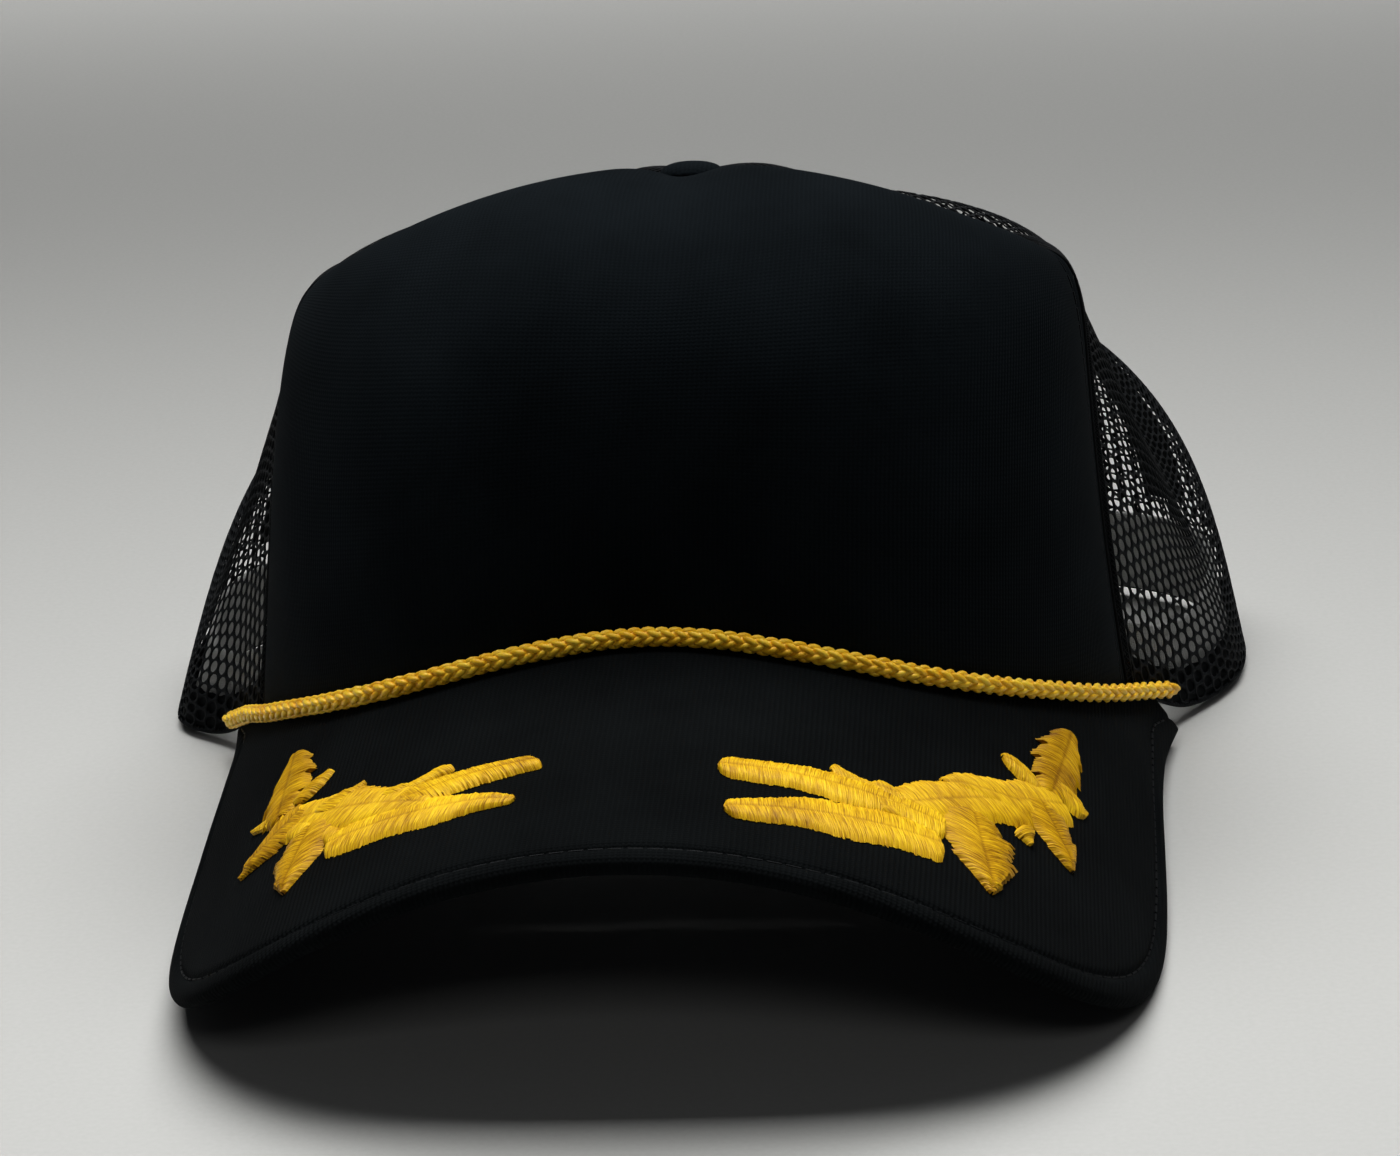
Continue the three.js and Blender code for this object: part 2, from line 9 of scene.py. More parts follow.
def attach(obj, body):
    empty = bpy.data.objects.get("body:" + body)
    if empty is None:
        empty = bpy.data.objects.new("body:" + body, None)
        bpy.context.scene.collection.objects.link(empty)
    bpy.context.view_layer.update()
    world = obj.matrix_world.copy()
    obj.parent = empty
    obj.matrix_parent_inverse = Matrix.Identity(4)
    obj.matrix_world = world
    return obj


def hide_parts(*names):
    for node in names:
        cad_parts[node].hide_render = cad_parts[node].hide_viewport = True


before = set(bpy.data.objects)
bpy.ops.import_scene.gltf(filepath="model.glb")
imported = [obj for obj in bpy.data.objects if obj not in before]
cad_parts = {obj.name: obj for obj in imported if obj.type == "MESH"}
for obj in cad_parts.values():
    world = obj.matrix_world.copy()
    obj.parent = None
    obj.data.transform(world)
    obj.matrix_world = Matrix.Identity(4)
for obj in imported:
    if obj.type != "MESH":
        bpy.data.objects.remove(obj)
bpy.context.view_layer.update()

rng = np.random.default_rng(7)
MM = 0.001

# Crown, in millimetres about its own axis

CROWN_TOP = 110.4
# Each row is a meridian, a curve from the rim to the top button: azimuth from the front, reach and
# height of the rim, lean and rise of the curve's lower arm, run and drop of its upper arm
CROWN_ROWS = np.array([
    [0, 93, 48.5, -2, 68, 60, -26.5],
    [26, 99.5, 39.5, -2, 80, 55.7, -29],
    [50, 92.5, 24.5, -3, 97.5, 71, -16.3],
    [76, 86.5, 12.5, -18.5, 126, 97, 26.5],
    [90, 96, 0.8, -16, 117.5, 58.3, 2.7],
    [104, 111.2, 0, -18, 60, 53.4, -8],
    [126, 121, 0, 7.3, 68, 50, 26],
    [150, 98, 0, -6, 68, 62, -1],
    [180, 88, 0, 0, 68, 57.5, -1],
])
SEAM_ROW = 3
FRONT_SEAM, SIDE_SEAM = 76.0, 128.0
TWIST_SKEW, TWIST_FORWARD = 0.071, 12.5
TWIST_START, TWIST_FULL, TWIST_UNTIL, TWIST_END = 84.0, 110.0, 126.0, 148.0
SWAY, SWAY_CLIMB = 3.6, 0.6
NEARBY_TURN, NEARBY_CLIMB = 0.4, 0.004
EYE_RADIUS = 4.0
BACK_REACH = CROWN_ROWS[-1, 1]
# From the crown's coordinates to the frame's
SHIFT = np.array([0.0, 42.603, 1.267])

# Brim, in the crown's coordinates

BRIM_THICKNESS, BRIM_CLEAR = 3.6, 0.7
BRIM_HEIGHT, BRIM_SLOPE = 52.2, 0.104
# Distances from the middle, and how far the sheet has fallen there
NEAR_FALL, FAR_FALL = (40.0, 7.9), (86.0, 44.9)
TIP_HALF_WIDTH, TIP_Y, TIP_AZIMUTH = 92.8, -13.5, 81.0
TIP_DROP, TIP_DROP_FROM = 2.2, -60.0
CORNER_HALF_WIDTH, CORNER_Y = 89.0, -68.0
BRIM_ACROSS = 1.4
BRIM_FRONT, BRIM_SQUARENESS = -172.0, 4.2
BRIM_FULL_WIDTH, BRIM_TIP_SHARE = 12.0, 0.5


# Rope, opening and sweatband

ROPE_RADIUS, ROPE_END, GAP = 1.75, 86.0, 0.3
ROPE_BRIDGE, BRIDGE_WITHIN = 1.4, 16.0
OPENING_HALF_WIDTH, OPENING_HEIGHT, BINDING_WIDTH = 38.0, 47.0, 6.0
BAND_HEIGHT, BAND_HEIGHT_BEHIND_NET, BAND_LIFT = 14.0, 16.5, 1.5
BAND_THICKNESS, BAND_CLOTH, BAND_CLEAR = 1.4, 1.3, 0.9
FOAM_DEPTH, NET_DEPTH = 3.0, 1.2
BAND_COLUMN = (SIDE_SEAM - FRONT_SEAM) / 8

# Embroidery on the flat sheet of the brim

# Each row is a stroke: across, y, to across, to y, half widths at its start, middle and end
STROKES_LEFT = np.array([
    [77, -104, 43.5, -139.5, 4.5, 6, 3.5],
    [51, -145, 18, -153, 5, 5.5, 3],
    [51.5, -137.5, 16.5, -139, 5, 4.5, 3.5],
    [45.5, -135, 35, -133.5, 2.5, 1.5, 2.5],
    [45, -134.5, 42, -134, 2.5, 3, 2],
    [67, -114.5, 54, -121.5, 5, 4, 1],
    [72.5, -102, 66.5, -100.5, 2, 3, 2],
    [76, -100.5, 80.5, -73, 3, 6, 2.5],
    [79.5, -97.5, 84.5, -97.5, 4, 3, 0.5],
    [75, -111.5, 80.5, -122, 6.5, 6, 2],
    [70.5, -122.5, 71.5, -124.5, 3, 2, 1],
    [60, -132, 63.5, -150, 7, 8, 1.5],
])
STROKES_RIGHT = np.array([
    [-67.5, -116.5, -37, -139.5, 4.5, 6, 3.5],
    [-53, -139, -20, -147.5, 4, 5, 1.5],
    [-71, -114.5, -54.5, -135.5, 2.5, 2.5, 2],
    [-38.5, -136, -17.5, -135.5, 4, 3.5, 2.5],
    [-42, -131.5, -33.5, -129.5, 1.5, 1.5, 2],
    [-44.5, -131.5, -41.5, -130.5, 2, 2.5, 2],
    [-57, -122.5, -50.5, -120.5, 4.5, 2.5, 0.5],
    [-66, -109.5, -61, -106, 2.5, 2.5, 1.5],
    [-71, -108.5, -71.5, -86.5, 4.5, 6.5, 3],
    [-72.5, -108.5, -79.5, -104.5, 2, 1.5, 0.5],
    [-69, -118, -78.5, -122, 8.5, 5.5, 1],
    [-61, -129.5, -63.5, -145, 6, 7, 1.5],
])
STITCH_HEIGHT = 1.2


def smooth(value, low, high):
    """Rises smoothly from 0 at low to 1 at high."""
    k = np.clip((value - low) / (high - low), 0, 1)
    return k * k * (3 - 2 * k)


def crown_slopes():
    """Slopes of the crown's columns before and after each row, with a crease at the front seam."""
    span = np.diff(CROWN_ROWS[:, 0])[:, None]
    step = np.diff(CROWN_ROWS[:, 1:], axis=0) / span
    before = np.zeros((len(CROWN_ROWS), 6))
    before[1:-1] = (span[1:] * step[:-1] + span[:-1] * step[1:]) / (span[:-1] + span[1:])
    after = before.copy()
    creased = [0, 2, 3, 4, 5]
    s = SEAM_ROW
    before[s, creased] = (1.5 * step[s - 1] - 0.5 * before[s - 1])[creased]
    after[s, creased] = (1.5 * step[s] - 0.5 * after[s + 1])[creased]
    return before, after


SLOPES_BEFORE, SLOPES_AFTER = crown_slopes()


def crown_values(azimuth):
    """Reach, rim, lean, rise, run and drop at each azimuth, one row for each."""
    turned = np.abs((np.asarray(azimuth, float) + 540) % 360 - 180)
    i = np.clip(np.searchsorted(CROWN_ROWS[:, 0], turned, side="right") - 1, 0, len(CROWN_ROWS) - 2)
    span = CROWN_ROWS[i + 1, 0] - CROWN_ROWS[i, 0]
    k = ((turned - CROWN_ROWS[i, 0]) / span)[..., None]
    span = span[..., None]
    from_a = (1 + 2 * k) * (1 - k) ** 2 * CROWN_ROWS[i, 1:] + k * (1 - k) ** 2 * span * SLOPES_AFTER[i]
    from_b = k * k * (3 - 2 * k) * CROWN_ROWS[i + 1, 1:] + k * k * (k - 1) * span * SLOPES_BEFORE[i + 1]
    return np.moveaxis(from_a + from_b, -1, 0)


def crown_profile(azimuth, climb):
    """Distance from the axis and height of the crown's outer face."""
    reach, rim, lean, rise, run, drop = crown_values(azimuth)
    left = 1 - climb
    b0, b1, b2, b3 = left ** 3, 3 * climb * left ** 2, 3 * climb ** 2 * left, climb ** 3
    out = b0 * reach + b1 * (reach + lean) + b2 * run
    return out, b0 * rim + b1 * (rim + rise) + b2 * (CROWN_TOP - drop) + b3 * CROWN_TOP


def crown_face(azimuth, climb):
    out, z = crown_profile(azimuth, climb)
    turned = np.abs(azimuth)
    share = smooth(turned, TWIST_START, TWIST_FULL) * (1 - smooth(turned, TWIST_UNTIL, TWIST_END))
    share = share * (1 - climb) ** 2
    x = out * np.sin(np.radians(azimuth))
    y = (TWIST_SKEW * x - TWIST_FORWARD) * share - out * np.cos(np.radians(azimuth))
    return np.stack([x + SWAY * smooth(climb, 0, SWAY_CLIMB), y, z], -1)


def crown_normal(azimuth, climb):
    across = crown_face(azimuth + NEARBY_TURN, climb) - crown_face(azimuth - NEARBY_TURN, climb)
    up = crown_face(azimuth, climb + NEARBY_CLIMB) - crown_face(azimuth, climb - NEARBY_CLIMB)
    normal = np.cross(across, up)
    return normal / np.linalg.norm(normal, axis=-1, keepdims=True)


def crown(azimuth, climb, out=0.0):
    """Points of the crown moved out along its normal."""
    azimuth, climb = np.broadcast_arrays(np.asarray(azimuth, float), np.asarray(climb, float))
    return crown_face(azimuth, climb) + crown_normal(azimuth, climb) * np.asarray(out)[..., None]


CLIMBS = np.linspace(0, 1, 401)
LOWER_CLIMBS, UPPER_CLIMBS = CLIMBS[:200], CLIMBS[200:]


def climb_at_radius(azimuth, radius):
    """Climb at which the crown's upper half is a radius away from the axis."""
    out = crown_profile(azimuth, UPPER_CLIMBS)[0]
    return float(np.interp(-radius, -out, UPPER_CLIMBS))


def climb_at_height(azimuth, z):
    """Climb at which the crown's lower half passes a height."""
    return float(np.interp(z, crown_profile(azimuth, LOWER_CLIMBS)[1], LOWER_CLIMBS))


BACK_ROUNDS = 12


def back_points(x, z, out):
    """Points of the back whose x and height are given, closed in on round by round."""
    found = []
    for across, up in zip(x, z):
        azimuth = 180.0
        for _ in range(BACK_ROUNDS):
            climb = climb_at_height(azimuth, up)
            reach = crown_profile(azimuth, climb)[0]
            sway = SWAY * smooth(climb, 0, SWAY_CLIMB)
            azimuth = 180 - math.degrees(math.asin((across - sway) / reach))
        found.append((azimuth, climb))
    azimuth, climb = np.array(found).T
    return crown(azimuth, climb, out)


NEAR_RATE, FAR_RATE = NEAR_FALL[1] / NEAR_FALL[0] ** 2, FAR_FALL[1] / FAR_FALL[0] ** 2
FOURTH_POWER = (FAR_RATE - NEAR_RATE) / (FAR_FALL[0] ** 2 - NEAR_FALL[0] ** 2)
SQUARE_POWER = NEAR_RATE - FOURTH_POWER * NEAR_FALL[0] ** 2


def brim_lean(x):
    return 2 * SQUARE_POWER * x + 4 * FOURTH_POWER * x ** 3


def brim_surface(x, y):
    fall = SQUARE_POWER * x ** 2 + FOURTH_POWER * x ** 4
    drop = TIP_DROP * (x / TIP_HALF_WIDTH) ** 2 * smooth(y, TIP_DROP_FROM, TIP_Y)
    return BRIM_HEIGHT + BRIM_SLOPE * (y + CROWN_ROWS[0, 1]) - fall - drop


def brim_normal(x):
    normal = np.stack([brim_lean(x), np.full_like(x, -BRIM_SLOPE), np.ones_like(x)], -1)
    return normal / np.linalg.norm(normal, axis=-1, keepdims=True)


def brim_point(x, y, height):
    return np.stack([x, y, brim_surface(x, y)], -1) + brim_normal(x) * np.asarray(height)[..., None]


SHEET_STEP = 0.25
SHEET_X = np.linspace(0, 100, 401)
SHEET_SLOPES = np.hypot(1, brim_lean(SHEET_X[:-1] + SHEET_STEP / 2))
SHEET_ACROSS = np.concatenate([[0], np.cumsum(SHEET_SLOPES * SHEET_STEP)])


def bent_across(across):
    """The x that lies a given distance from the middle over the bent sheet."""
    return np.sign(across) * np.interp(np.abs(across), SHEET_ACROSS, SHEET_X)


def flat_across(x):
    """The distance from the middle over the bent sheet at which x lies."""
    return np.sign(x) * np.interp(np.abs(x), SHEET_X, SHEET_ACROSS)


# Meshes

def grid(columns, rows):
    """A bmesh grid with its places across and up, both from 0 to 1, as arrays in vertex order."""
    bm = bmesh.new()
    bmesh.ops.create_grid(bm, x_segments=columns, y_segments=rows, size=0.5)
    places = np.array([v.co for v in bm.verts])[:, :2] + 0.5
    return bm, places[:, 0], places[:, 1]


def lay_out(bm, points, u=None, v=None):
    """Moves the vertices to points in millimetres, and writes the flat cloth's places as the UV map."""
    if u is not None:
        layer = bm.loops.layers.uv.new("UVMap")
        for face in bm.faces:
            for loop in face.loops:
                i = loop.vert.index
                loop[layer].uv = (u[i], v[i])
    for vert, point in zip(bm.verts, (points + SHIFT) * MM):
        vert.co = point


def add_piece(name, mesh, material, slot, *replaced):
    if isinstance(mesh, bmesh.types.BMesh):
        bm, mesh = mesh, bpy.data.meshes.new(name)
        bm.to_mesh(mesh)
        bm.free()
    mesh.shade_smooth()
    mesh.materials.clear()
    mesh.materials.append(material)
    piece = bpy.data.objects.new(name, mesh)
    bpy.context.scene.collection.objects.link(piece)
    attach(piece, "root")
    if replaced:
        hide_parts(*replaced)
    return piece


def thicken(piece, thickness):
    """Gives a sheet its thickness on the side away from its normals."""
    solid = piece.modifiers.new("thickness", "SOLIDIFY")
    solid.thickness = thickness * MM
    solid.offset = -1
    solid.use_even_offset = False
    return solid


def thread_mesh(name, paths, radius, resolution=1):
    """Round threads along paths in millimetres, as one mesh."""
    curve = bpy.data.curves.new(name, "CURVE")
    curve.dimensions = "3D"
    curve.bevel_depth = radius * MM
    curve.bevel_resolution = resolution
    curve.use_fill_caps = True
    for path in paths:
        spline = curve.splines.new("POLY")
        spline.points.add(len(path) - 1)
        points = np.ones((len(path), 4))
        points[:, :3] = (path + SHIFT) * MM
        spline.points.foreach_set("co", points.ravel())
    holder = bpy.data.objects.new(name, curve)
    bpy.context.scene.collection.objects.link(holder)
    graph = bpy.context.evaluated_depsgraph_get()
    mesh = bpy.data.meshes.new_from_object(holder.evaluated_get(graph))
    bpy.data.objects.remove(holder)
    return mesh


def distances(points):
    """How far along a line each of its points lies."""
    return np.concatenate([[0], np.cumsum(np.linalg.norm(np.diff(points, axis=0), axis=1))])


def between(places, along, values):
    """Values of three columns, given along a line, at other places on it."""
    return np.stack([np.interp(places, along, values[:, i]) for i in range(3)], -1)


def walk(points, step):
    """The same line with points a step apart."""
    along = distances(points)
    places = np.linspace(0, along[-1], max(2, round(along[-1] / step) + 1))
    return between(places, along, points)


STITCH_STEP = 0.25


def stitches(line, length, gap, dip=0.0, normal=None):
    """Short threads along a line, a gap between them; with a normal, their ends lie a dip back from it."""
    fine = walk(line, STITCH_STEP)
    per, off = max(2, round(length / STITCH_STEP)), round(gap / STITCH_STEP)
    paths = []
    for start in range(0, len(fine) - per, per + off):
        path = fine[start:start + per + 1:2].copy()
        if normal is not None:
            share = np.linspace(0, math.pi, len(path))
            path += np.outer(np.sin(share) * dip - dip, normal)
        paths.append(path)
    return paths


# Finishes

def new_finish(name):
    material = bpy.data.materials.new(name)
    material.use_nodes = True
    tree = material.node_tree
    shader = tree.nodes["Principled BSDF"]
    return material, tree, shader


def math_node(tree, operation, a, b=None):
    node = tree.nodes.new("ShaderNodeMath")
    node.operation = operation
    for socket, value in zip(node.inputs, (a, b)):
        if value is None:
            continue
        if isinstance(value, (int, float)):
            socket.default_value = value
        else:
            tree.links.new(value, socket)
    return node.outputs[0]


def noise_node(tree, vector, scale, detail=3.0, roughness=0.55):
    node = tree.nodes.new("ShaderNodeTexNoise")
    node.inputs["Scale"].default_value = scale
    node.inputs["Detail"].default_value = detail
    node.inputs["Roughness"].default_value = roughness
    tree.links.new(vector, node.inputs["Vector"])
    return node.outputs["Fac"]


def ramp_node(tree, value, stops):
    node = tree.nodes.new("ShaderNodeValToRGB")
    ramp = node.color_ramp
    while len(ramp.elements) < len(stops):
        ramp.elements.new(0.5)
    for element, (place, colour) in zip(ramp.elements, stops):
        element.position = place
        element.color = (*colour, 1)
    tree.links.new(value, node.inputs["Fac"])
    return node.outputs["Color"]


def bump_node(tree, height, distance):
    node = tree.nodes.new("ShaderNodeBump")
    node.inputs["Distance"].default_value = distance * MM
    node.inputs["Strength"].default_value = 1.0
    tree.links.new(height, node.inputs["Height"])
    return node.outputs["Normal"]


def cloth_relief(tree, uv, wale, course):
    """Ribs a wale apart along V, with slanted loops a course apart on them, and fuzz."""
    place = tree.nodes.new("ShaderNodeSeparateXYZ")
    tree.links.new(uv, place.inputs[0])
    wander = math_node(tree, "MULTIPLY", noise_node(tree, uv, 0.05, 1.0), 0.5)
    wandering = math_node(tree, "ADD", place.outputs["X"], wander)
    across = math_node(tree, "MULTIPLY", wandering, 2 * math.pi / wale)
    along = math_node(tree, "MULTIPLY", place.outputs["Y"], 2 * math.pi / course)
    swing = math_node(tree, "SINE", math_node(tree, "MULTIPLY", across, 0.5))
    slant = math_node(tree, "MULTIPLY", math_node(tree, "ABSOLUTE", swing), 1.6)
    ribs = math_node(tree, "MULTIPLY", math_node(tree, "COSINE", across), 0.6)
    loops = math_node(tree, "COSINE", math_node(tree, "ADD", along, slant))
    knit = math_node(tree, "ADD", ribs, math_node(tree, "MULTIPLY", loops, 0.3))
    return math_node(tree, "ADD", knit, noise_node(tree, uv, 3.1, 3.0))


def knit_finish(name, dark, light, wale, course, relief):
    """Fine jersey: rows of stitches along V, a wale apart, on a UV map in millimetres."""
    material, tree, shader = new_finish(name)
    uv = tree.nodes.new("ShaderNodeUVMap").outputs["UV"]
    height = cloth_relief(tree, uv, wale, course)
    coordinates = tree.nodes.new("ShaderNodeTexCoord").outputs["Object"]
    patches = math_node(tree, "MULTIPLY", noise_node(tree, coordinates, 38.0, 4.0), 0.9)
    # Painted shade: the colour follows the relief's height, darker in the hollows between ribs and loops,
    # over random patches
    tone = math_node(tree, "ADD", math_node(tree, "MULTIPLY", height, 0.12), patches)
    colour = ramp_node(tree, tone, [(0.25, dark), (0.85, light)])
    tree.links.new(colour, shader.inputs["Base Color"])
    tree.links.new(bump_node(tree, height, relief), shader.inputs["Normal"])
    shader.inputs["Roughness"].default_value = 0.95
    shader.inputs["Specular IOR Level"].default_value = 0.03
    return material


def yarn_finish(name, dark, light, scale, roughness=0.7, sheen=0.0, specular=0.07, relief=0.05):
    """Black yarn, tape or plastic, with a fine mottling in the piece's own place."""
    material, tree, shader = new_finish(name)
    coordinates = tree.nodes.new("ShaderNodeTexCoord").outputs["Object"]
    grain = noise_node(tree, coordinates, scale, 3.0)
    patches = noise_node(tree, coordinates, scale * 0.07, 2.0)
    tone = math_node(tree, "MULTIPLY", math_node(tree, "ADD", grain, patches), 0.5)
    tree.links.new(ramp_node(tree, tone, [(0.3, dark), (0.7, light)]), shader.inputs["Base Color"])
    tree.links.new(bump_node(tree, grain, relief), shader.inputs["Normal"])
    shader.inputs["Roughness"].default_value = roughness
    shader.inputs["Specular IOR Level"].default_value = specular
    shader.inputs["Sheen Weight"].default_value = sheen
    shader.inputs["Sheen Roughness"].default_value = 0.4
    return material


# Painted shade: the embroidery's leaves, marked by a U past LEAF_MARK, are darker as though their threads
# caught less light; veins, where V is nearly 0, are darker along their groove
LEAF_MARK, LEAF_PAINTED_SHADE = 1000.0, 0.07
VEIN_NARROWNESS, VEIN_PAINTED_SHADE = 1.8, 0.07


def satin_finish(name):
    """Gold satin stitch: U runs along the stroke in millimetres, and the threads lie across it."""
    material, tree, shader = new_finish(name)
    uv = tree.nodes.new("ShaderNodeUVMap").outputs["UV"]
    stretched = tree.nodes.new("ShaderNodeMapping")
    stretched.inputs["Scale"].default_value = (3.6, 0.22, 1)
    tree.links.new(uv, stretched.inputs["Vector"])
    threads = noise_node(tree, stretched.outputs[0], 1.0, 2.0, 0.7)
    coordinates = tree.nodes.new("ShaderNodeTexCoord").outputs["Object"]
    patches = math_node(tree, "MULTIPLY", noise_node(tree, coordinates, 95.0, 3.0), 0.35)
    tone = math_node(tree, "ADD", math_node(tree, "MULTIPLY", threads, 0.65), patches)
    place = tree.nodes.new("ShaderNodeSeparateXYZ")
    tree.links.new(uv, place.inputs[0])
    # Painted shade along the vein's groove in the middle of veined strokes
    distance = math_node(tree, "ABSOLUTE", place.outputs["Y"])
    off_vein = math_node(tree, "MINIMUM", math_node(tree, "MULTIPLY", distance, VEIN_NARROWNESS), 1.0)
    vein = math_node(tree, "MULTIPLY", math_node(tree, "SUBTRACT", 1.0, off_vein), VEIN_PAINTED_SHADE)
    # Painted shade over the whole of each leaf, as though its threads caught less light
    on_leaf = math_node(tree, "GREATER_THAN", place.outputs["X"], LEAF_MARK / 2)
    leaf = math_node(tree, "MULTIPLY", on_leaf, LEAF_PAINTED_SHADE)
    tone = math_node(tree, "SUBTRACT", math_node(tree, "SUBTRACT", tone, vein), leaf)
    shadow, middle, shine = (0.2, 0.078, 0.001), (0.53, 0.28, 0.003), (0.86, 0.55, 0.011)
    colour = ramp_node(tree, tone, [(0.33, shadow), (0.47, middle), (0.63, shine)])
    tree.links.new(colour, shader.inputs["Base Color"])
    tree.links.new(bump_node(tree, threads, 0.2), shader.inputs["Normal"])
    shader.inputs["Roughness"].default_value = 0.5
    shader.inputs["Specular IOR Level"].default_value = 0.22
    shader.inputs["Specular Tint"].default_value = (1.0, 0.75, 0.25, 1)
    return material


def cord_finish(name):
    """Gold braided cord: fine fibres and a mottling in the piece's own place."""
    material, tree, shader = new_finish(name)
    coordinates = tree.nodes.new("ShaderNodeTexCoord").outputs["Object"]
    fibres = noise_node(tree, coordinates, 2600.0, 2.0)
    patches = math_node(tree, "MULTIPLY", noise_node(tree, coordinates, 210.0, 3.0), 0.6)
    tone = math_node(tree, "ADD", math_node(tree, "MULTIPLY", fibres, 0.4), patches)
    shadow, middle, shine = (0.7, 0.31, 0.006), (0.97, 0.54, 0.018), (1.0, 0.72, 0.06)
    colour = ramp_node(tree, tone, [(0.3, shadow), (0.46, middle), (0.66, shine)])
    tree.links.new(colour, shader.inputs["Base Color"])
    tree.links.new(bump_node(tree, fibres, 0.06), shader.inputs["Normal"])
    shader.inputs["Roughness"].default_value = 0.36
    shader.inputs["Specular IOR Level"].default_value = 0.65
    shader.inputs["Specular Tint"].default_value = (1.0, 0.8, 0.4, 1)
    return material


front_cloth = knit_finish("front knit", (0.0014, 0.0024, 0.0032), (0.0048, 0.0070, 0.0088),
                          wale=0.85, course=0.7, relief=0.05)
brim_cloth = knit_finish("brim knit", (0.0009, 0.0012, 0.0014), (0.0036, 0.0046, 0.0050),
                         wale=0.95, course=0.7, relief=0.13)
lining_cloth = knit_finish("foam lining", (0.005, 0.0055, 0.006), (0.014, 0.015, 0.017),
                           wale=1.2, course=1.0, relief=0.06)
sweatband_cotton = knit_finish("sweatband cotton", (0.42, 0.42, 0.41), (0.54, 0.54, 0.52),
                               wale=0.9, course=0.9, relief=0.12)
net_yarn = yarn_finish("net yarn", (0.0012, 0.0016, 0.002), (0.006, 0.0072, 0.0085), 900.0)
sewing_thread = yarn_finish("black sewing thread", (0.001, 0.0014, 0.0017), (0.005, 0.006, 0.007), 1500.0,
                            roughness=0.55)
black_tape = yarn_finish("sweatband tape", (0.0012, 0.0015, 0.0018), (0.005, 0.006, 0.007), 1100.0,
                         roughness=0.9, sheen=0.03, specular=0.15, relief=0.1)
snap_plastic = yarn_finish("snap strap plastic", (0.006, 0.0065, 0.0075), (0.012, 0.013, 0.015), 160.0,
                           roughness=0.42, specular=0.5, relief=0.02)
gold_satin = satin_finish("gold satin stitch")
gold_cord = cord_finish("gold braided cord")


# Flat cloth of a crown panel: across and up over the cloth, in millimetres, from its middle meridian

GORE_COLUMNS, GORE_ROWS = 60, 120


class Gore:
    def __init__(self, low, high):
        self.azimuths = np.linspace(low, high, GORE_COLUMNS + 1)
        top = climb_at_radius((low + high) / 2, EYE_RADIUS)
        self.climbs = np.linspace(0, top, GORE_ROWS + 1)
        points = crown(self.azimuths[None, :], self.climbs[:, None])
        steps = np.linalg.norm(np.diff(points, axis=1), axis=-1)
        across = np.concatenate([np.zeros((GORE_ROWS + 1, 1)), np.cumsum(steps, axis=1)], axis=1)
        middle = GORE_COLUMNS // 2
        self.across = across - across[:, middle:middle + 1]
        self.up = distances(points[:, middle])

    def edges(self, up):
        """How far the cloth reaches to both sides at a height over its foot."""
        return np.interp(up, self.up, self.across[:, 0]), np.interp(up, self.up, self.across[:, -1])

    def to_crown(self, across, up):
        """Azimuth and climb of places on the flat cloth."""
        row = np.interp(up, self.up, np.arange(len(self.up)))
        i = np.minimum(row.astype(int), len(self.up) - 2)
        share = row - i
        azimuth = np.empty(len(across))
        for n, (u, k, s) in enumerate(zip(across, i, share)):
            low = np.interp(u, self.across[k], self.azimuths)
            high = np.interp(u, self.across[k + 1], self.azimuths)
            azimuth[n] = low + (high - low) * s
        return azimuth, np.interp(up, self.up, self.climbs)

    def flat(self, azimuth, climb):
        """Place on the flat cloth of points of the crown."""
        row = np.interp(climb, self.climbs, np.arange(len(self.climbs)))
        column = np.interp(azimuth, self.azimuths, np.arange(GORE_COLUMNS + 1))
        i = np.minimum(row.astype(int), GORE_ROWS - 1)
        j = np.minimum(column.astype(int), GORE_COLUMNS - 1)
        a, b = row - i, column - j
        low = self.across[i, j] * (1 - b) + self.across[i, j + 1] * b
        high = self.across[i + 1, j] * (1 - b) + self.across[i + 1, j + 1] * b
        return low * (1 - a) + high * a, np.interp(climb, self.climbs, self.up)


# Net: six-sided cells with oval holes, a pitch apart in columns that run up the cloth

NET_COLUMN, NET_PITCH, NET_THICKNESS = 3.3, 2.15, 0.3
STRAND, STRAND_CROWN, CELL_LEAN = 0.22, 0.1, 0.27
HOLE_HALF_WIDTH, HOLE_HALF_HEIGHT = 1.45, 0.9
SEAM_MARGIN, SEAM_ALLOWANCE, HEM_ROLL = 1.4, 0.4, 1.6


def net_cells(gore, is_open):
    """Flat cells over the whole cloth, joined at their edges, every other column half a pitch higher."""
    bm = bmesh.new()
    far, near, half = NET_COLUMN / 2 + CELL_LEAN, NET_COLUMN / 2 - CELL_LEAN, NET_PITCH / 2
    corners = np.array([[far, 0], [near, half], [-near, half], [-far, 0], [-near, -half], [near, -half]])
    tall = gore.up[-1]
    widest = max(-gore.across[:, 0].min(), gore.across[:, -1].max())
    count = int(widest / NET_COLUMN) + 1
    for column in range(-count, count + 1):
        for row in range(int(tall / NET_PITCH) + 1):
            centre = np.array([column * NET_COLUMN, (row + 0.5 + (column % 2) / 2) * NET_PITCH])
            left, right = gore.edges(centre[1])
            on_cloth = left + SEAM_MARGIN < centre[0] < right - SEAM_MARGIN and HEM_ROLL < centre[1] < tall
            if on_cloth and not is_open(gore, centre):
                bm.faces.new([bm.verts.new((*(centre + corner), 0)) for corner in corners])
    bmesh.ops.remove_doubles(bm, verts=bm.verts, dist=0.05)
    return bm


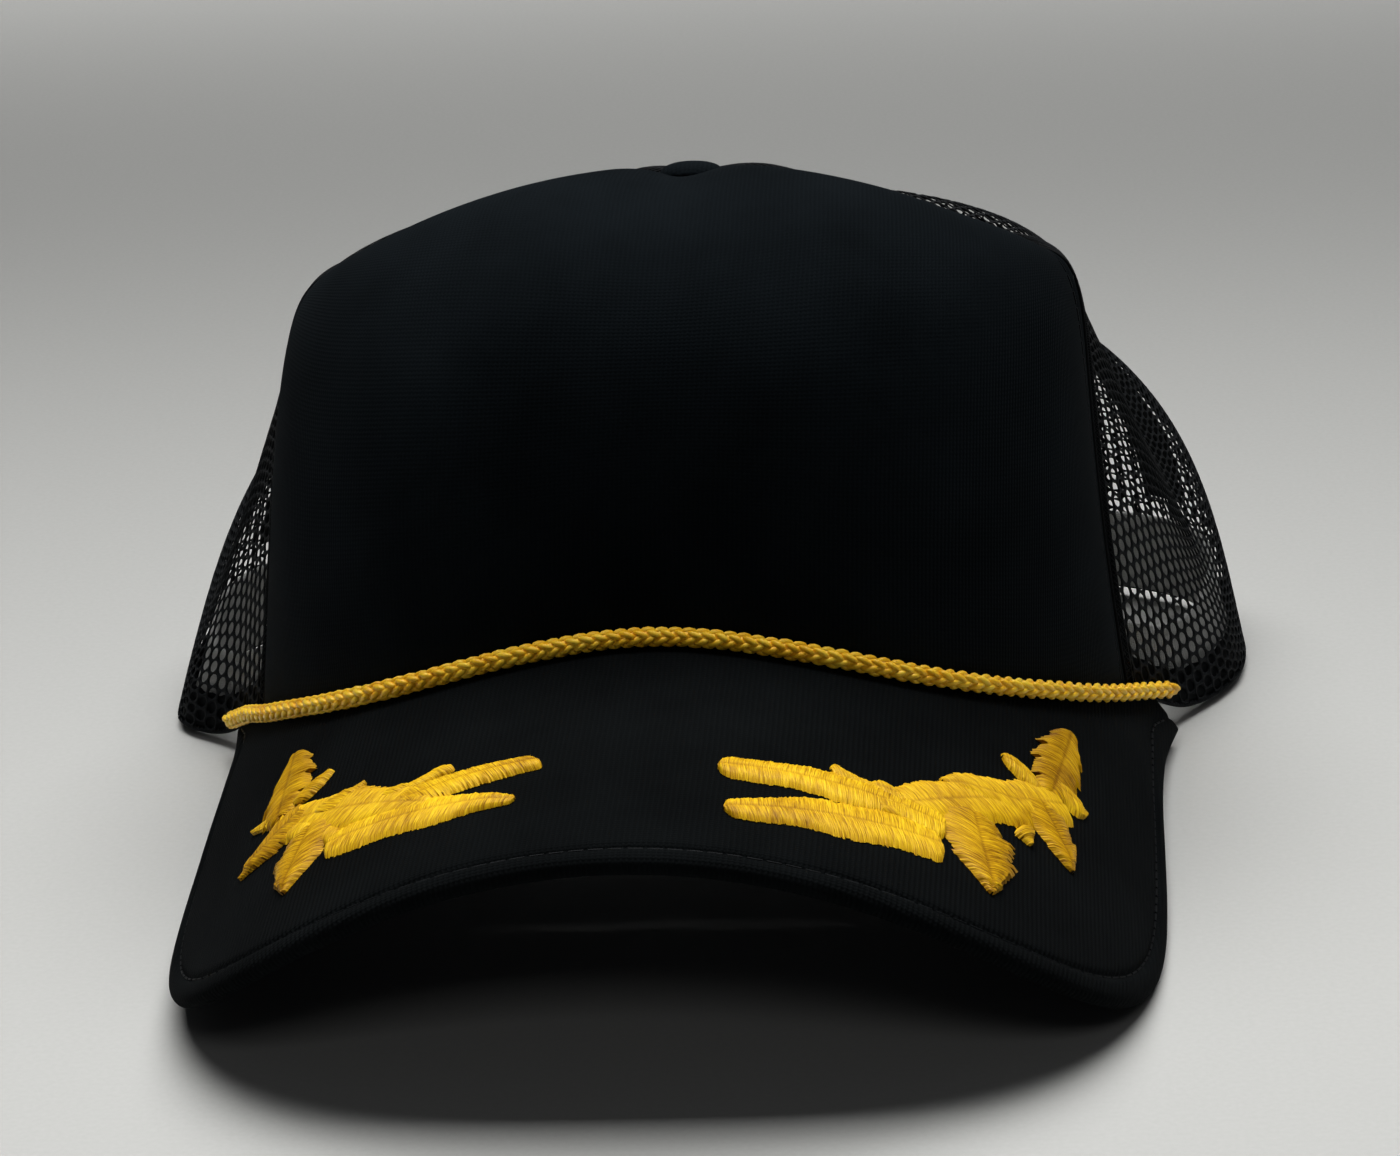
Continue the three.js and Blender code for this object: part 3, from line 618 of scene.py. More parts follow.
def open_holes(bm):
    """Leaves a strand of yarn round each cell, raised at its inner edge, and an oval hole."""
    bmesh.ops.subdivide_edges(bm, edges=bm.edges, cuts=1)
    cells = bm.faces[:]
    bmesh.ops.inset_individual(bm, faces=cells, thickness=STRAND, depth=-STRAND_CROWN, use_even_offset=True)
    for cell in cells:
        centre = cell.calc_center_median()
        for vert in cell.verts:
            rise = (vert.co.y - centre.y) / HOLE_HALF_HEIGHT
            reach = (vert.co.x - centre.x) / HOLE_HALF_WIDTH
            turn = math.atan2(rise, reach)
            vert.co.x = centre.x + HOLE_HALF_WIDTH * math.cos(turn)
            vert.co.y = centre.y + HOLE_HALF_HEIGHT * math.sin(turn)
    bmesh.ops.delete(bm, geom=cells, context="FACES_ONLY")


def net_panel(name, low, high, slot_node, is_open=lambda gore, centre: False):
    gore = Gore(low, high)
    bm = net_cells(gore, is_open)
    open_holes(bm)
    places = np.array([v.co for v in bm.verts])
    left, right = gore.edges(places[:, 1])
    across = np.clip(places[:, 0], left + SEAM_ALLOWANCE, right - SEAM_ALLOWANCE)
    up = np.clip(places[:, 1], 0, gore.up[-1])
    azimuth, climb = gore.to_crown(across, up)
    bm.verts.index_update()
    lay_out(bm, crown(azimuth, climb, places[:, 2]), across, up)
    thicken(add_piece(name, bm, net_yarn, "net", slot_node), NET_THICKNESS)


def over_opening(margin):
    """Says whether a place on a back panel's flat cloth lies in the half-moon opening."""
    def is_open(gore, centre):
        azimuth, climb = gore.to_crown(centre[:1], centre[1:])
        x, _, z = crown(azimuth, climb)[0]
        return (x / (OPENING_HALF_WIDTH + margin)) ** 2 + (z / (OPENING_HEIGHT + margin)) ** 2 < 1
    return is_open


net_panel("net_side_left", FRONT_SEAM, SIDE_SEAM, "side_mesh_left")
net_panel("net_side_right", -SIDE_SEAM, -FRONT_SEAM, "side_mesh_right")
under_binding = over_opening(BINDING_WIDTH * 0.6)
net_panel("net_back_left", SIDE_SEAM, 180, "back_mesh_left", under_binding)
net_panel("net_back_right", -180, -SIDE_SEAM, "back_mesh_right", under_binding)


# Front panel: knit cloth over foam, sewn along both seams with a topstitch inside the edge

PANEL_EDGE = FRONT_SEAM - 0.15
PANEL_COLUMNS, PANEL_ROWS, PANEL_THICKNESS = 200, 120, 2.6
EDGE_CROWDING = 0.18
TOPSTITCH_INSET, TOPSTITCH_DEPTH, TOPSTITCH_HALF_WIDTH = 4.8, 0.55, 0.55
TOPSTITCH_LENGTH, TOPSTITCH_GAP, TOPSTITCH_RADIUS, TOPSTITCH_SUNK = 2.6, 0.75, 0.22, 0.25
PUFF_HEIGHT, PUFF_HALF_WIDTH = 0.25, 1.4
EDGE_ROLL_DEPTH, EDGE_ROLL_WIDTH = 0.9, 1.0
RELIEF_FADE = 20.0
RIPPLE_HEIGHT, RIPPLE_UP, RIPPLE_SWING, RIPPLE_ACROSS = 0.12, 11.0, 17.0, 13.0


def front_panel():
    gore = Gore(-FRONT_SEAM, FRONT_SEAM)
    bm, across, up = grid(PANEL_COLUMNS, PANEL_ROWS)
    across = across * 2 - 1
    crowded = np.sign(across) * np.abs(across) ** 0.5 * np.abs(across)
    azimuth = PANEL_EDGE * (across * (1 - EDGE_CROWDING) + EDGE_CROWDING * crowded)
    top = np.interp(azimuth, gore.azimuths, [climb_at_radius(a, EYE_RADIUS) for a in gore.azimuths])
    climb = up * top
    u, v = gore.flat(azimuth, climb)
    rows = np.interp(climb, gore.climbs, np.arange(len(gore.climbs))).astype(int)
    inset = np.minimum(gore.across[rows, -1] - u, u - gore.across[rows, 0])
    groove = np.exp(-((inset - TOPSTITCH_INSET) / TOPSTITCH_HALF_WIDTH) ** 2) * TOPSTITCH_DEPTH
    puff = PUFF_HEIGHT * np.exp(-((inset - TOPSTITCH_INSET * 0.5) / PUFF_HALF_WIDTH) ** 2)
    rolled = EDGE_ROLL_DEPTH * np.clip(1 - inset / EDGE_ROLL_WIDTH, 0, 1) ** 2
    fade = np.clip(gore.across[rows, -1] / RELIEF_FADE, 0, 1)
    ripple = np.sin(v / RIPPLE_UP + 2 * np.sin(u / RIPPLE_SWING)) * np.sin(u / RIPPLE_ACROSS)
    lay_out(bm, crown(azimuth, climb, (puff - groove - rolled) * fade + RIPPLE_HEIGHT * ripple), u, v)
    piece = add_piece("front_foam", bm, front_cloth, "foam_cloth", "front_panel")
    piece.data.materials.append(lining_cloth)
    thicken(piece, PANEL_THICKNESS).material_offset = 1
    return gore


front_gore = front_panel()


def seam_line(side, inset, out, climbs):
    """A line along the front seam, the given distance inside the foam's edge, or outside it if negative."""
    gore = front_gore
    rows = np.interp(climbs, gore.climbs, np.arange(len(gore.climbs)))
    edge = np.interp(rows, np.arange(len(gore.climbs)), gore.across[:, -1])
    width = np.radians(FRONT_SEAM) / edge
    azimuth = side * (FRONT_SEAM - np.degrees(inset * width))
    return crown(azimuth, climbs, out)


topstitches = []
for side in (1, -1):
    seam = seam_line(side, TOPSTITCH_INSET, -TOPSTITCH_SUNK, front_gore.climbs[1:-6])
    topstitches += stitches(seam, TOPSTITCH_LENGTH, TOPSTITCH_GAP)
topstitch_mesh = thread_mesh("front_topstitch", topstitches, TOPSTITCH_RADIUS)
add_piece("front_topstitch", topstitch_mesh, sewing_thread, "foam_cloth")


# Turned edge of the net along the front seams: overlocked loops between two lines of yarn

LOOP_PITCH, LOOP_INNER, LOOP_OUTER = 1.15, -0.35, -2.5
LOOP_RADIUS, LOOP_INNER_LIFT, LOOP_OUTER_LIFT = 0.3, 0.25, 0.3
SEAM_CLIMBS = front_gore.climbs[1:-8]


def overlock(side):
    inner = seam_line(side, LOOP_INNER, LOOP_INNER_LIFT, SEAM_CLIMBS)
    outer = seam_line(side, LOOP_OUTER, LOOP_OUTER_LIFT, SEAM_CLIMBS)
    count = int(distances(inner)[-1] / LOOP_PITCH)
    paths = []
    for lean in (0.0, 0.5):
        share = np.linspace(0, 1, count * 2)
        swing = (np.arange(count * 2) % 2).astype(float)
        at = np.clip(share + lean / count, 0, 1) * (len(inner) - 1)
        i = np.arange(len(inner))
        a, b = between(at, i, inner), between(at, i, outer)
        paths.append(a + (b - a) * swing[:, None])
    paths += [inner, outer]
    return paths


loops = overlock(1) + overlock(-1)
add_piece("net_turned_edge", thread_mesh("net_turned_edge", loops, LOOP_RADIUS), net_yarn, "net")


# Seams between the net panels: two ridges of yarn over a tape inside

SEAM_TOP_RADIUS = EYE_RADIUS + 2
RIDGE_OFFSET, RIDGE_LIFT, RIDGE_RADIUS = 0.5, 0.1, 0.42
TAPE_WIDTH, TAPE_LENGTH, TAPE_INSIDE, TAPE_THICKNESS = 10.0, 140.0, 1.3, 0.5
TAPE_FIRST_CLIMB = 0.12

ridges = []
for azimuth in (SIDE_SEAM, -SIDE_SEAM, 180.0):
    first = 0.0 if abs(azimuth) < 180 else climb_at_height(180.0, OPENING_HEIGHT + BINDING_WIDTH)
    climbs = np.linspace(first, climb_at_radius(azimuth, SEAM_TOP_RADIUS), 80)
    turn = np.degrees(RIDGE_OFFSET / crown_profile(azimuth, climbs)[0])
    for side in (-1, 1):
        ridges.append(crown(azimuth + side * turn, climbs, RIDGE_LIFT))
add_piece("net_seams", thread_mesh("net_seams", ridges, RIDGE_RADIUS), net_yarn, "net")


def seam_tape(name, azimuth, first):
    bm, across, up = grid(6, 80)
    top = climb_at_radius(azimuth, SEAM_TOP_RADIUS)
    climb = first + (top - first) * up
    turn = np.degrees(TAPE_WIDTH * (across - 0.5) / crown_profile(azimuth, climb)[0])
    lay_out(bm, crown(azimuth + turn, climb, -TAPE_INSIDE), across * TAPE_WIDTH, up * TAPE_LENGTH)
    thicken(add_piece(name, bm, black_tape, "tape"), TAPE_THICKNESS)


seam_tape("seam_tape_left", SIDE_SEAM, TAPE_FIRST_CLIMB)
seam_tape("seam_tape_right", -SIDE_SEAM, TAPE_FIRST_CLIMB)
seam_tape("seam_tape_back", 180.0, climb_at_height(180.0, OPENING_HEIGHT + BINDING_WIDTH + 1))


# Hem of the net: a roll of yarn along its foot, with a scallop of thread every two millimetres

OPENING_AZIMUTH = 180 - math.degrees(math.asin(OPENING_HALF_WIDTH / BACK_REACH))
HEM_CLIMB, HEM_INSIDE, HEM_RADIUS = 0.004, 0.5, 0.42
SCALLOP, SCALLOP_GAP, SCALLOP_DIP = 1.5, 0.5, 0.45

hems = []
scallops = []
for low, high in ((FRONT_SEAM + 1, OPENING_AZIMUTH), (-OPENING_AZIMUTH, -FRONT_SEAM - 1)):
    line = crown(np.linspace(low, high, 120), HEM_CLIMB, -HEM_INSIDE)
    hems.append(line)
    scallops += stitches(line, SCALLOP, SCALLOP_GAP, SCALLOP_DIP, (0, 0, -1))
add_piece("net_hem", thread_mesh("net_hem", hems + scallops, HEM_RADIUS), net_yarn, "net")


# Second layer of the net where it is turned under, along the hem and beside the front seams

FOLD_HEIGHT, FOLD_WAVE, FOLD_WIDTH = 9.0, 0.25, 3.2
FOLD_INSIDE, FOLD_THICKNESS = 0.7, 0.35


def turned_under(name, azimuth, climb, across, up):
    """A layer inside the net through the given rows of azimuths and climbs, across by up millimetres."""
    bm, first, second = grid(len(azimuth[0]) - 1, len(azimuth) - 1)
    column = np.rint(first * (len(azimuth[0]) - 1)).astype(int)
    row = np.rint(second * (len(azimuth) - 1)).astype(int)
    lay_out(bm, crown(azimuth[row, column], climb[row, column], -FOLD_INSIDE), first * across, second * up)
    thicken(add_piece(name, bm, net_yarn, "net"), FOLD_THICKNESS)


def hem_fold(name, low, high):
    azimuths = np.linspace(low, high, 91)
    foot = crown_values(azimuths)[1]
    wavy = FOLD_HEIGHT + FOLD_WAVE * np.sin(azimuths * 1.7)
    top = np.array([climb_at_height(a, f + w) for a, f, w in zip(azimuths, foot, wavy)])
    share = np.linspace(0, 1, 7)[:, None]
    climb = HEM_CLIMB + (top - HEM_CLIMB) * share
    turned_under(name, np.tile(azimuths, (7, 1)), climb, 150, FOLD_HEIGHT)


def seam_fold(name, side):
    depth = crown_profile(side * FRONT_SEAM, SEAM_CLIMBS)[0]
    share = np.linspace(0, 1, 4)[:, None]
    turn = np.degrees(FOLD_WIDTH / depth)[None, :] * share
    turned_under(name, side * (FRONT_SEAM + 0.3 + turn), np.tile(SEAM_CLIMBS, (4, 1)), 140, FOLD_WIDTH)


hem_fold("hem_fold_left", FRONT_SEAM + 0.6, OPENING_AZIMUTH - 2)
hem_fold("hem_fold_right", 2 - OPENING_AZIMUTH, -FRONT_SEAM - 0.6)
seam_fold("seam_fold_left", 1)
seam_fold("seam_fold_right", -1)


# Sweatband: a puffed cotton band inside the rim, with a line sewn in above its foot

BAND_PUFF = 0.35
BAND_SEWN_AT, BAND_SEWN_DEPTH, BAND_SEWN_HALF_WIDTH = 0.15, 0.25, 0.05
BAND_LENGTH, BAND_WIDTH = 560.0, 28.0


def band_depth(azimuth):
    """Depth of the band's outer face inside the crown: deep behind the foam, shallow behind the net."""
    share = np.clip((np.abs(azimuth) - FRONT_SEAM) / BAND_COLUMN - 1, 0, 1)
    return FOAM_DEPTH + (NET_DEPTH - FOAM_DEPTH) * share + BAND_CLEAR


def sweatband():
    bm, across, up = grid(240, 10)
    end = FRONT_SEAM + 11 * BAND_COLUMN
    azimuth = (across * 2 - 1) * end
    table = np.linspace(-end, end, 121)
    rims = crown_values(table)[1]
    behind_net = smooth(np.abs(table), FRONT_SEAM, FRONT_SEAM + 8)
    tall = BAND_HEIGHT + (BAND_HEIGHT_BEHIND_NET - BAND_HEIGHT) * behind_net
    foot = np.array([climb_at_height(a, r + BAND_LIFT) for a, r in zip(table, rims)])
    top = np.array([climb_at_height(a, r + BAND_LIFT + h) for a, r, h in zip(table, rims, tall)])
    low, high = np.interp(azimuth, table, foot), np.interp(azimuth, table, top)
    climb = low + (high - low) * up
    sewn = BAND_SEWN_DEPTH * np.exp(-((up - BAND_SEWN_AT) / BAND_SEWN_HALF_WIDTH) ** 2)
    puff = BAND_PUFF * np.sin(np.pi * up) - sewn
    points = crown(azimuth, climb, -band_depth(azimuth) - BAND_THICKNESS - puff)
    lay_out(bm, points, across * BAND_LENGTH, up * BAND_WIDTH)
    bmesh.ops.reverse_faces(bm, faces=bm.faces)
    thicken(add_piece("sweatband_tape", bm, sweatband_cotton, "tape", "sweatband"), BAND_CLOTH)


sweatband()


# Binding of the half-moon opening: a puffed tape with a line of sewing near its outer edge

BINDING_THICKNESS = 1.6
BINDING_PUFF, BINDING_FALL = 0.6, 0.9
SEWN_AT, SEWN_DEPTH, SEWN_HALF_WIDTH = 0.82, 0.3, 0.06


def binding():
    bm, across, up = grid(90, 12)
    turn = np.pi * across
    width = BINDING_WIDTH * up
    x = (OPENING_HALF_WIDTH + width) * np.cos(turn)
    z = (OPENING_HEIGHT + width) * np.sin(turn)
    sewn = SEWN_DEPTH * np.exp(-((up - SEWN_AT) / SEWN_HALF_WIDTH) ** 2)
    puff = BINDING_PUFF - BINDING_FALL * np.abs(up * 2 - 1) ** 3 - sewn
    points = back_points(x, np.maximum(z, 0.05), puff)
    lay_out(bm, points, turn * 44, width)
    bmesh.ops.recalc_face_normals(bm, faces=bm.faces)
    if sum(f.normal.y for f in bm.faces) < 0:
        bmesh.ops.reverse_faces(bm, faces=bm.faces)
    thicken(add_piece("opening_tape", bm, black_tape, "tape", "opening_binding"), BINDING_THICKNESS)


binding()


# Brim: knit cloth round a stiff board, with a stitched groove near the rolled edge on both faces

GROOVE_INSET, GROOVE_DEPTH = 4.6, 0.7
ROLL_INSET, ROLL_RISE = 6.6, 0.1
# Set-backs from the edge and heights over the sheet, across the groove to the roll outside it
GROOVE_FORM = [(5.9, -0.04), (5.4, -0.2), (5.0, -0.5), (GROOVE_INSET, -GROOVE_DEPTH),
               (4.2, -0.45), (3.7, -0.1), (3.1, ROLL_RISE), (2.4, ROLL_RISE)]
STITCH_LENGTH, STITCH_GAP, STITCH_RADIUS, STITCH_RISE = 2.6, 0.7, 0.2, 0.12
PUCKER_HEIGHT, PUCKER_ACROSS, PUCKER_ALONG = 0.1, 5.5, 9.0


def brim_outline(share):
    """The outer edge on one side, at shares of its length from the tip to the middle of the front."""
    left = 1 - np.linspace(0, 1, 80)[:-1]
    side_x = CORNER_HALF_WIDTH + (TIP_HALF_WIDTH - CORNER_HALF_WIDTH) * left ** 2
    side_y = CORNER_Y + (TIP_Y - CORNER_Y) * left
    turn = np.linspace(0, np.pi / 2, 400)
    powers = np.cos(turn) ** BRIM_SQUARENESS + np.sin(turn) ** BRIM_SQUARENESS
    size = powers ** (-1 / BRIM_SQUARENESS)
    front_x = CORNER_HALF_WIDTH * np.cos(turn) * size
    front_y = CORNER_Y + (BRIM_FRONT - CORNER_Y) * np.sin(turn) * size
    x, y = np.concatenate([side_x, front_x]), np.concatenate([side_y, front_y])
    along = np.concatenate([[0], np.cumsum(np.hypot(np.diff(x), np.diff(y)))])
    places = share * along[-1]
    return np.interp(places, along, x), np.interp(places, along, y)


def brim_stations():
    """Round the section: share of the length, set-back, share of the edge's radius, height, depth."""
    upper_flat = [(s, s * ROLL_INSET, 0, 0, 0) for s in np.linspace(0, 1, 22)]
    upper = [(1, inset, 0, rise, 0) for inset, rise in GROOVE_FORM]
    turns = np.linspace(0.08, math.pi - 0.08, 11)
    round_edge = [(1, 0, 1 - math.sin(t), 0, (1 - math.cos(t)) / 2) for t in turns]
    lower = [(1, inset, 0, -rise, 1) for inset, rise in reversed(GROOVE_FORM)]
    lower_flat = [(s, s * ROLL_INSET, 0, 0, 1) for s in np.linspace(1, 0, 12)]
    return np.array(upper_flat + upper + round_edge + lower + lower_flat + [upper_flat[0]])


def brim_place(share, station):
    """x, y and height over the sheet for places along the outline (-1 to 1) and stations of the section."""
    side = np.sign(share) + (share == 0)
    azimuth = TIP_AZIMUTH * share
    reach = crown_values(azimuth)[0] + BRIM_CLEAR
    x0, y0 = reach * np.sin(np.radians(azimuth)), -reach * np.cos(np.radians(azimuth))
    x1, y1 = brim_outline(1 - np.abs(share))
    x1 = x1 * side + BRIM_ACROSS
    length = np.hypot(x1 - x0, y1 - y0)
    fit = np.minimum(1, length / BRIM_FULL_WIDTH)
    thick = BRIM_THICKNESS * (BRIM_TIP_SHARE + (1 - BRIM_TIP_SHARE) * fit)
    out, inset, edge, rise, depth = station.T
    distance = (out * length - inset * fit - edge * thick / 2 * fit) / length
    return x0 + (x1 - x0) * distance, y0 + (y1 - y0) * distance, rise * fit - depth * thick


def brim():
    stations = brim_stations()
    bm, across, up = grid(240, len(stations) - 1)
    station = stations[np.round(up * (len(stations) - 1)).astype(int)]
    x, y, height = brim_place(across * 2 - 1, station)
    on_upper_edge = (station[:, 4] == 0) * (station[:, 0] > 0.9)
    pucker = PUCKER_HEIGHT * np.sin(x / PUCKER_ACROSS + np.sin(y / PUCKER_ALONG)) * on_upper_edge
    lay_out(bm, brim_point(x, y, height + pucker), flat_across(x), y)
    bmesh.ops.remove_doubles(bm, verts=bm.verts, dist=0.00002)
    bmesh.ops.holes_fill(bm, edges=[e for e in bm.edges if e.is_boundary])
    bmesh.ops.recalc_face_normals(bm, faces=bm.faces)
    add_piece("brim_board", bm, brim_cloth, "brim_cloth", "brim")


def brim_stitching():
    """Stitches sunk in the groove, above and below."""
    share = np.linspace(-0.985, 0.985, 500)
    threads = []
    for rise, depth in ((STITCH_RISE - GROOVE_DEPTH, 0), (GROOVE_DEPTH - STITCH_RISE, 1)):
        station = np.array([[1, GROOVE_INSET, 0, rise, depth]] * len(share))
        threads += stitches(brim_point(*brim_place(share, station)), STITCH_LENGTH, STITCH_GAP)
    mesh = thread_mesh("brim_stitches", threads, STITCH_RADIUS)
    add_piece("brim_stitches", mesh, sewing_thread, "brim_cloth")


brim()
brim_stitching()


# Gold rope: rows of plump slanted strands round a core, leaning one way and the other in turn

ROPE_ROWS, TUFT_PITCH, TUFT_SLANT = 6, 2.4, math.radians(31)
TUFT_LENGTH, TUFT_WIDTH, TUFT_HEIGHT = 1.85, 0.74, 0.72
TUFT_DEPTH, TUFT_BEND, TUFT_ROUND = 1.12, 0.1, 1.5
ROPE_CORE, ROPE_STEP = 1.25, 0.4
WALL_CLIMB, EASING_ROUNDS = 0.06, 60
# Towards the ends the strands lie further apart, and each is somewhat longer
END_STRANDS, END_LENGTHENING = 2.6, 0.65
# Strands left out at the start and the end of the rope
BARE_START, BARE_END = 0.15, 0.1
SIZE_SPREAD, SLANT_SPREAD = 0.05, 0.04
# The last stretch at each end runs straight to its tip
ROPE_STRAIGHT = 30.0
ROPE_TIPS = np.array([[-93.8, -6.9, 6.2], [93.1, -6.9, 8.0]])


def rope_line():
    """Middle line of the rope between the crown and the brim, and the way out from both."""
    azimuth = np.linspace(-ROPE_END, ROPE_END, 361)
    wall = crown_normal(azimuth, np.full_like(azimuth, WALL_CLIMB))
    bridged = 1 - smooth(np.abs(np.abs(azimuth) - FRONT_SEAM), 0, BRIDGE_WITHIN)
    reach = crown_values(azimuth)[0] + ROPE_BRIDGE * bridged
    x, y = reach * np.sin(np.radians(azimuth)), -reach * np.cos(np.radians(azimuth))
    under = brim_normal(x)
    share = (ROPE_RADIUS + GAP) / (1 + (wall * under).sum(-1))
    outward = wall + under
    points = np.stack([x, y, brim_surface(x, y)], -1) + outward * share[:, None]
    for _ in range(EASING_ROUNDS):
        points[1:-1] = (points[:-2] + 2 * points[1:-1] + points[2:]) / 4
    return points, outward


def rope_route():
    """Places along the rope a step apart, with their middles and the ways out."""
    points, outward = rope_line()
    along = distances(points)
    first, last = np.searchsorted(along, [ROPE_STRAIGHT, along[-1] - ROPE_STRAIGHT])
    ends = ((first, 0, slice(0, first)), (last, -1, slice(last + 1, None)))
    for (pin, end, part), tip in zip(ends, ROPE_TIPS):
        share = (along[part] - along[pin]) / (along[end] - along[pin])
        points[part] = points[pin] + share[:, None] * (tip - points[pin])
        outward[part] = outward[pin]
    places = np.arange(0, along[-1], ROPE_STEP)
    return places, between(places, along, points), between(places, along, outward)


def rope():
    along, middle, outward = rope_route()
    tangent = np.gradient(middle, axis=0)
    tangent /= np.linalg.norm(tangent, axis=1, keepdims=True)
    outward -= (outward * tangent).sum(1, keepdims=True) * tangent
    outward /= np.linalg.norm(outward, axis=1, keepdims=True)
    sideways = np.cross(tangent, outward)
    bm = bmesh.new()
    bmesh.ops.create_uvsphere(bm, u_segments=8, v_segments=5, radius=1)
    tuft = np.array([v.co for v in bm.verts])
    template = bpy.data.meshes.new("tuft")
    bm.to_mesh(template)
    bm.clear()
    points = []
    pitch = TUFT_PITCH * (1 + (END_STRANDS - 1) * (along / along[-1] * 2 - 1) ** 2)
    strands = np.concatenate([[0], np.cumsum(ROPE_STEP / pitch[1:])])
    for row in range(ROPE_ROWS):
        hand = 1 if row % 2 == 0 else -1
        for number in np.arange(BARE_START + 0.5 * (row % 2), strands[-1] - BARE_END):
            centre = np.interp(number, strands, along)
            longer = (np.interp(centre, along, pitch) / TUFT_PITCH) ** END_LENGTHENING
            size = 1 + SIZE_SPREAD * rng.standard_normal()
            a, b = tuft[:, 0] * TUFT_LENGTH * size, tuft[:, 1] * TUFT_WIDTH * size
            slant = TUFT_SLANT + SLANT_SPREAD * rng.standard_normal()
            s = centre + (a * math.cos(slant) - hand * b * math.sin(slant)) * longer
            round_rope = (hand * a * math.sin(slant) + b * math.cos(slant)) / TUFT_ROUND
            turn = (2 * np.pi * row / ROPE_ROWS + round_rope)[:, None]
            radius = TUFT_DEPTH + tuft[:, 2] * TUFT_HEIGHT * size - TUFT_BEND * tuft[:, 0] ** 2
            away = between(s, along, outward) * np.cos(turn) + between(s, along, sideways) * np.sin(turn)
            points.append(between(s, along, middle) + away * radius[:, None])
            bm.from_mesh(template)
    lay_out(bm, np.concatenate(points))
    bpy.data.meshes.remove(template)
    core = thread_mesh("rope_core", [middle], ROPE_CORE, 2)
    bm.from_mesh(core)
    bpy.data.meshes.remove(core)
    add_piece("gold_rope_braid", bm, gold_cord, "gold_rope", "rope")


rope()


# Embroidery: satin strokes whose threads run out on both sides of a middle line

THREAD, THREAD_SAMPLES, THREAD_ROWS = 0.38, 3, 10
RAGGED, RIPPLE, ROUND_END = 0.035, 0.07, 0.6
# Each stroke lies a little higher than the one before it, and narrow ones are lower
STROKE_FOOT, STROKE_HEIGHT, STROKE_OVERLAP = 0.1, STITCH_HEIGHT - 0.15, 0.03
FULL_HEIGHT_HALF_WIDTH, LOWEST_SHARE = 2.5, 0.6
LEAF_HALF_WIDTH, LEAF_LENGTH, LEAF_TOOTH, LEAF_NOTCH = 4.8, 31.0, 7.0, 0.24
WAVE_LENGTH, WAVE_DEPTH = 2.7, 0.08
# How far a thread's end lies back along the stroke, as a share of its half width
LEAF_SLANT, LONG_SLANT, SHORT_SLANT = 0.4, 0.12, 0.5
# Strokes wider than this have a vein along the middle; a V past NO_VEIN keeps the others plain
VEINED_HALF_WIDTH, VEIN_DEPTH, VEIN_HALF_WIDTH, NO_VEIN = 2.8, 0.14, 0.12, 50.0


def stroke_widths(stroke, along, t, order):
    """Half width of a stroke at places along it, with rounded ends, and teeth or waves at the edges."""
    length = np.linalg.norm(stroke[2:4] - stroke[:2])
    start, middle, end = stroke[4:]
    share = np.clip(along / length, 0, 1)
    back, onward = 1 - share, 2 * share - 1
    half = end * share * onward + middle * 4 * share * back - start * back * onward
    past = np.maximum(-along / max(ROUND_END * start, 0.01), (along - length) / max(ROUND_END * end, 0.01))
    is_leaf = middle >= LEAF_HALF_WIDTH and length < LEAF_LENGTH
    is_long = length > LEAF_LENGTH
    half = half * np.sqrt(np.clip(1 - np.clip(past, 0, 1) ** (1.2 if is_leaf else 2), 0.02, 1))
    tooth = np.mod(along / LEAF_TOOTH + 0.43 * (t > 0) + 0.29 * order, 1)
    wave = np.sin(along / WAVE_LENGTH + 2 * (t > 0))
    return half * (1 - LEAF_NOTCH * tooth * is_leaf + WAVE_DEPTH * wave * is_long), is_leaf, is_long


def stroke_mesh(bm, layer, stroke, order):
    """Adds one stroke over those before it: a low dome that ripples from thread to thread."""
    start, end = stroke[:2], stroke[2:4]
    length = np.linalg.norm(end - start)
    direction = (end - start) / length
    sideways = np.array([-direction[1], direction[0]])
    round_in, round_out = stroke[4] * ROUND_END, stroke[6] * ROUND_END
    whole = length + round_in + round_out
    threads = max(6, round(whole / THREAD))
    columns = threads * THREAD_SAMPLES
    made = bmesh.ops.create_grid(bm, x_segments=columns, y_segments=THREAD_ROWS, size=0.5)["verts"]
    places = np.array([v.co for v in made])[:, :2] + 0.5
    s, t = places[:, 0], places[:, 1] * 2 - 1
    along = s * whole - round_in
    half, is_leaf, is_long = stroke_widths(stroke, along, t, order)
    thread = np.clip(np.floor(s * threads - 1e-6).astype(int), 0, threads)
    half = half * (1 + RAGGED * rng.standard_normal(threads + 1)[thread])
    if is_leaf:
        slant = LEAF_SLANT * np.abs(t) * half
    elif is_long:
        slant = LONG_SLANT * np.abs(t) * half
    else:
        slant = SHORT_SLANT * t * half
    spot = start + np.outer(along - slant, direction) + np.outer(t * half, sideways)
    ripple = RIPPLE * np.abs(np.sin(np.pi * s * threads))
    dome = np.clip(1 - t ** 2, 0, 1) ** 0.5
    veined = stroke[5] > VEINED_HALF_WIDTH
    vein = VEIN_DEPTH * np.exp(-(t / VEIN_HALF_WIDTH) ** 2) * veined
    low = np.clip(half / FULL_HEIGHT_HALF_WIDTH, LOWEST_SHARE, 1)
    rise = (STROKE_HEIGHT + STROKE_OVERLAP * order) * low * (dome - vein)
    points = brim_point(bent_across(spot[:, 0]), spot[:, 1], STROKE_FOOT + rise + ripple)
    # A U past LEAF_MARK gives a leaf its painted shade in the satin finish
    u = s * whole + 7.3 * order + LEAF_MARK * is_leaf
    # A V past NO_VEIN keeps the vein's painted shade off plain strokes
    v = t * half + NO_VEIN * (not veined)
    for vert, point in zip(made, (points + SHIFT) * MM):
        vert.co = point
    for index, vert in enumerate(made):
        for loop in vert.link_loops:
            loop[layer].uv = (u[index], v[index])


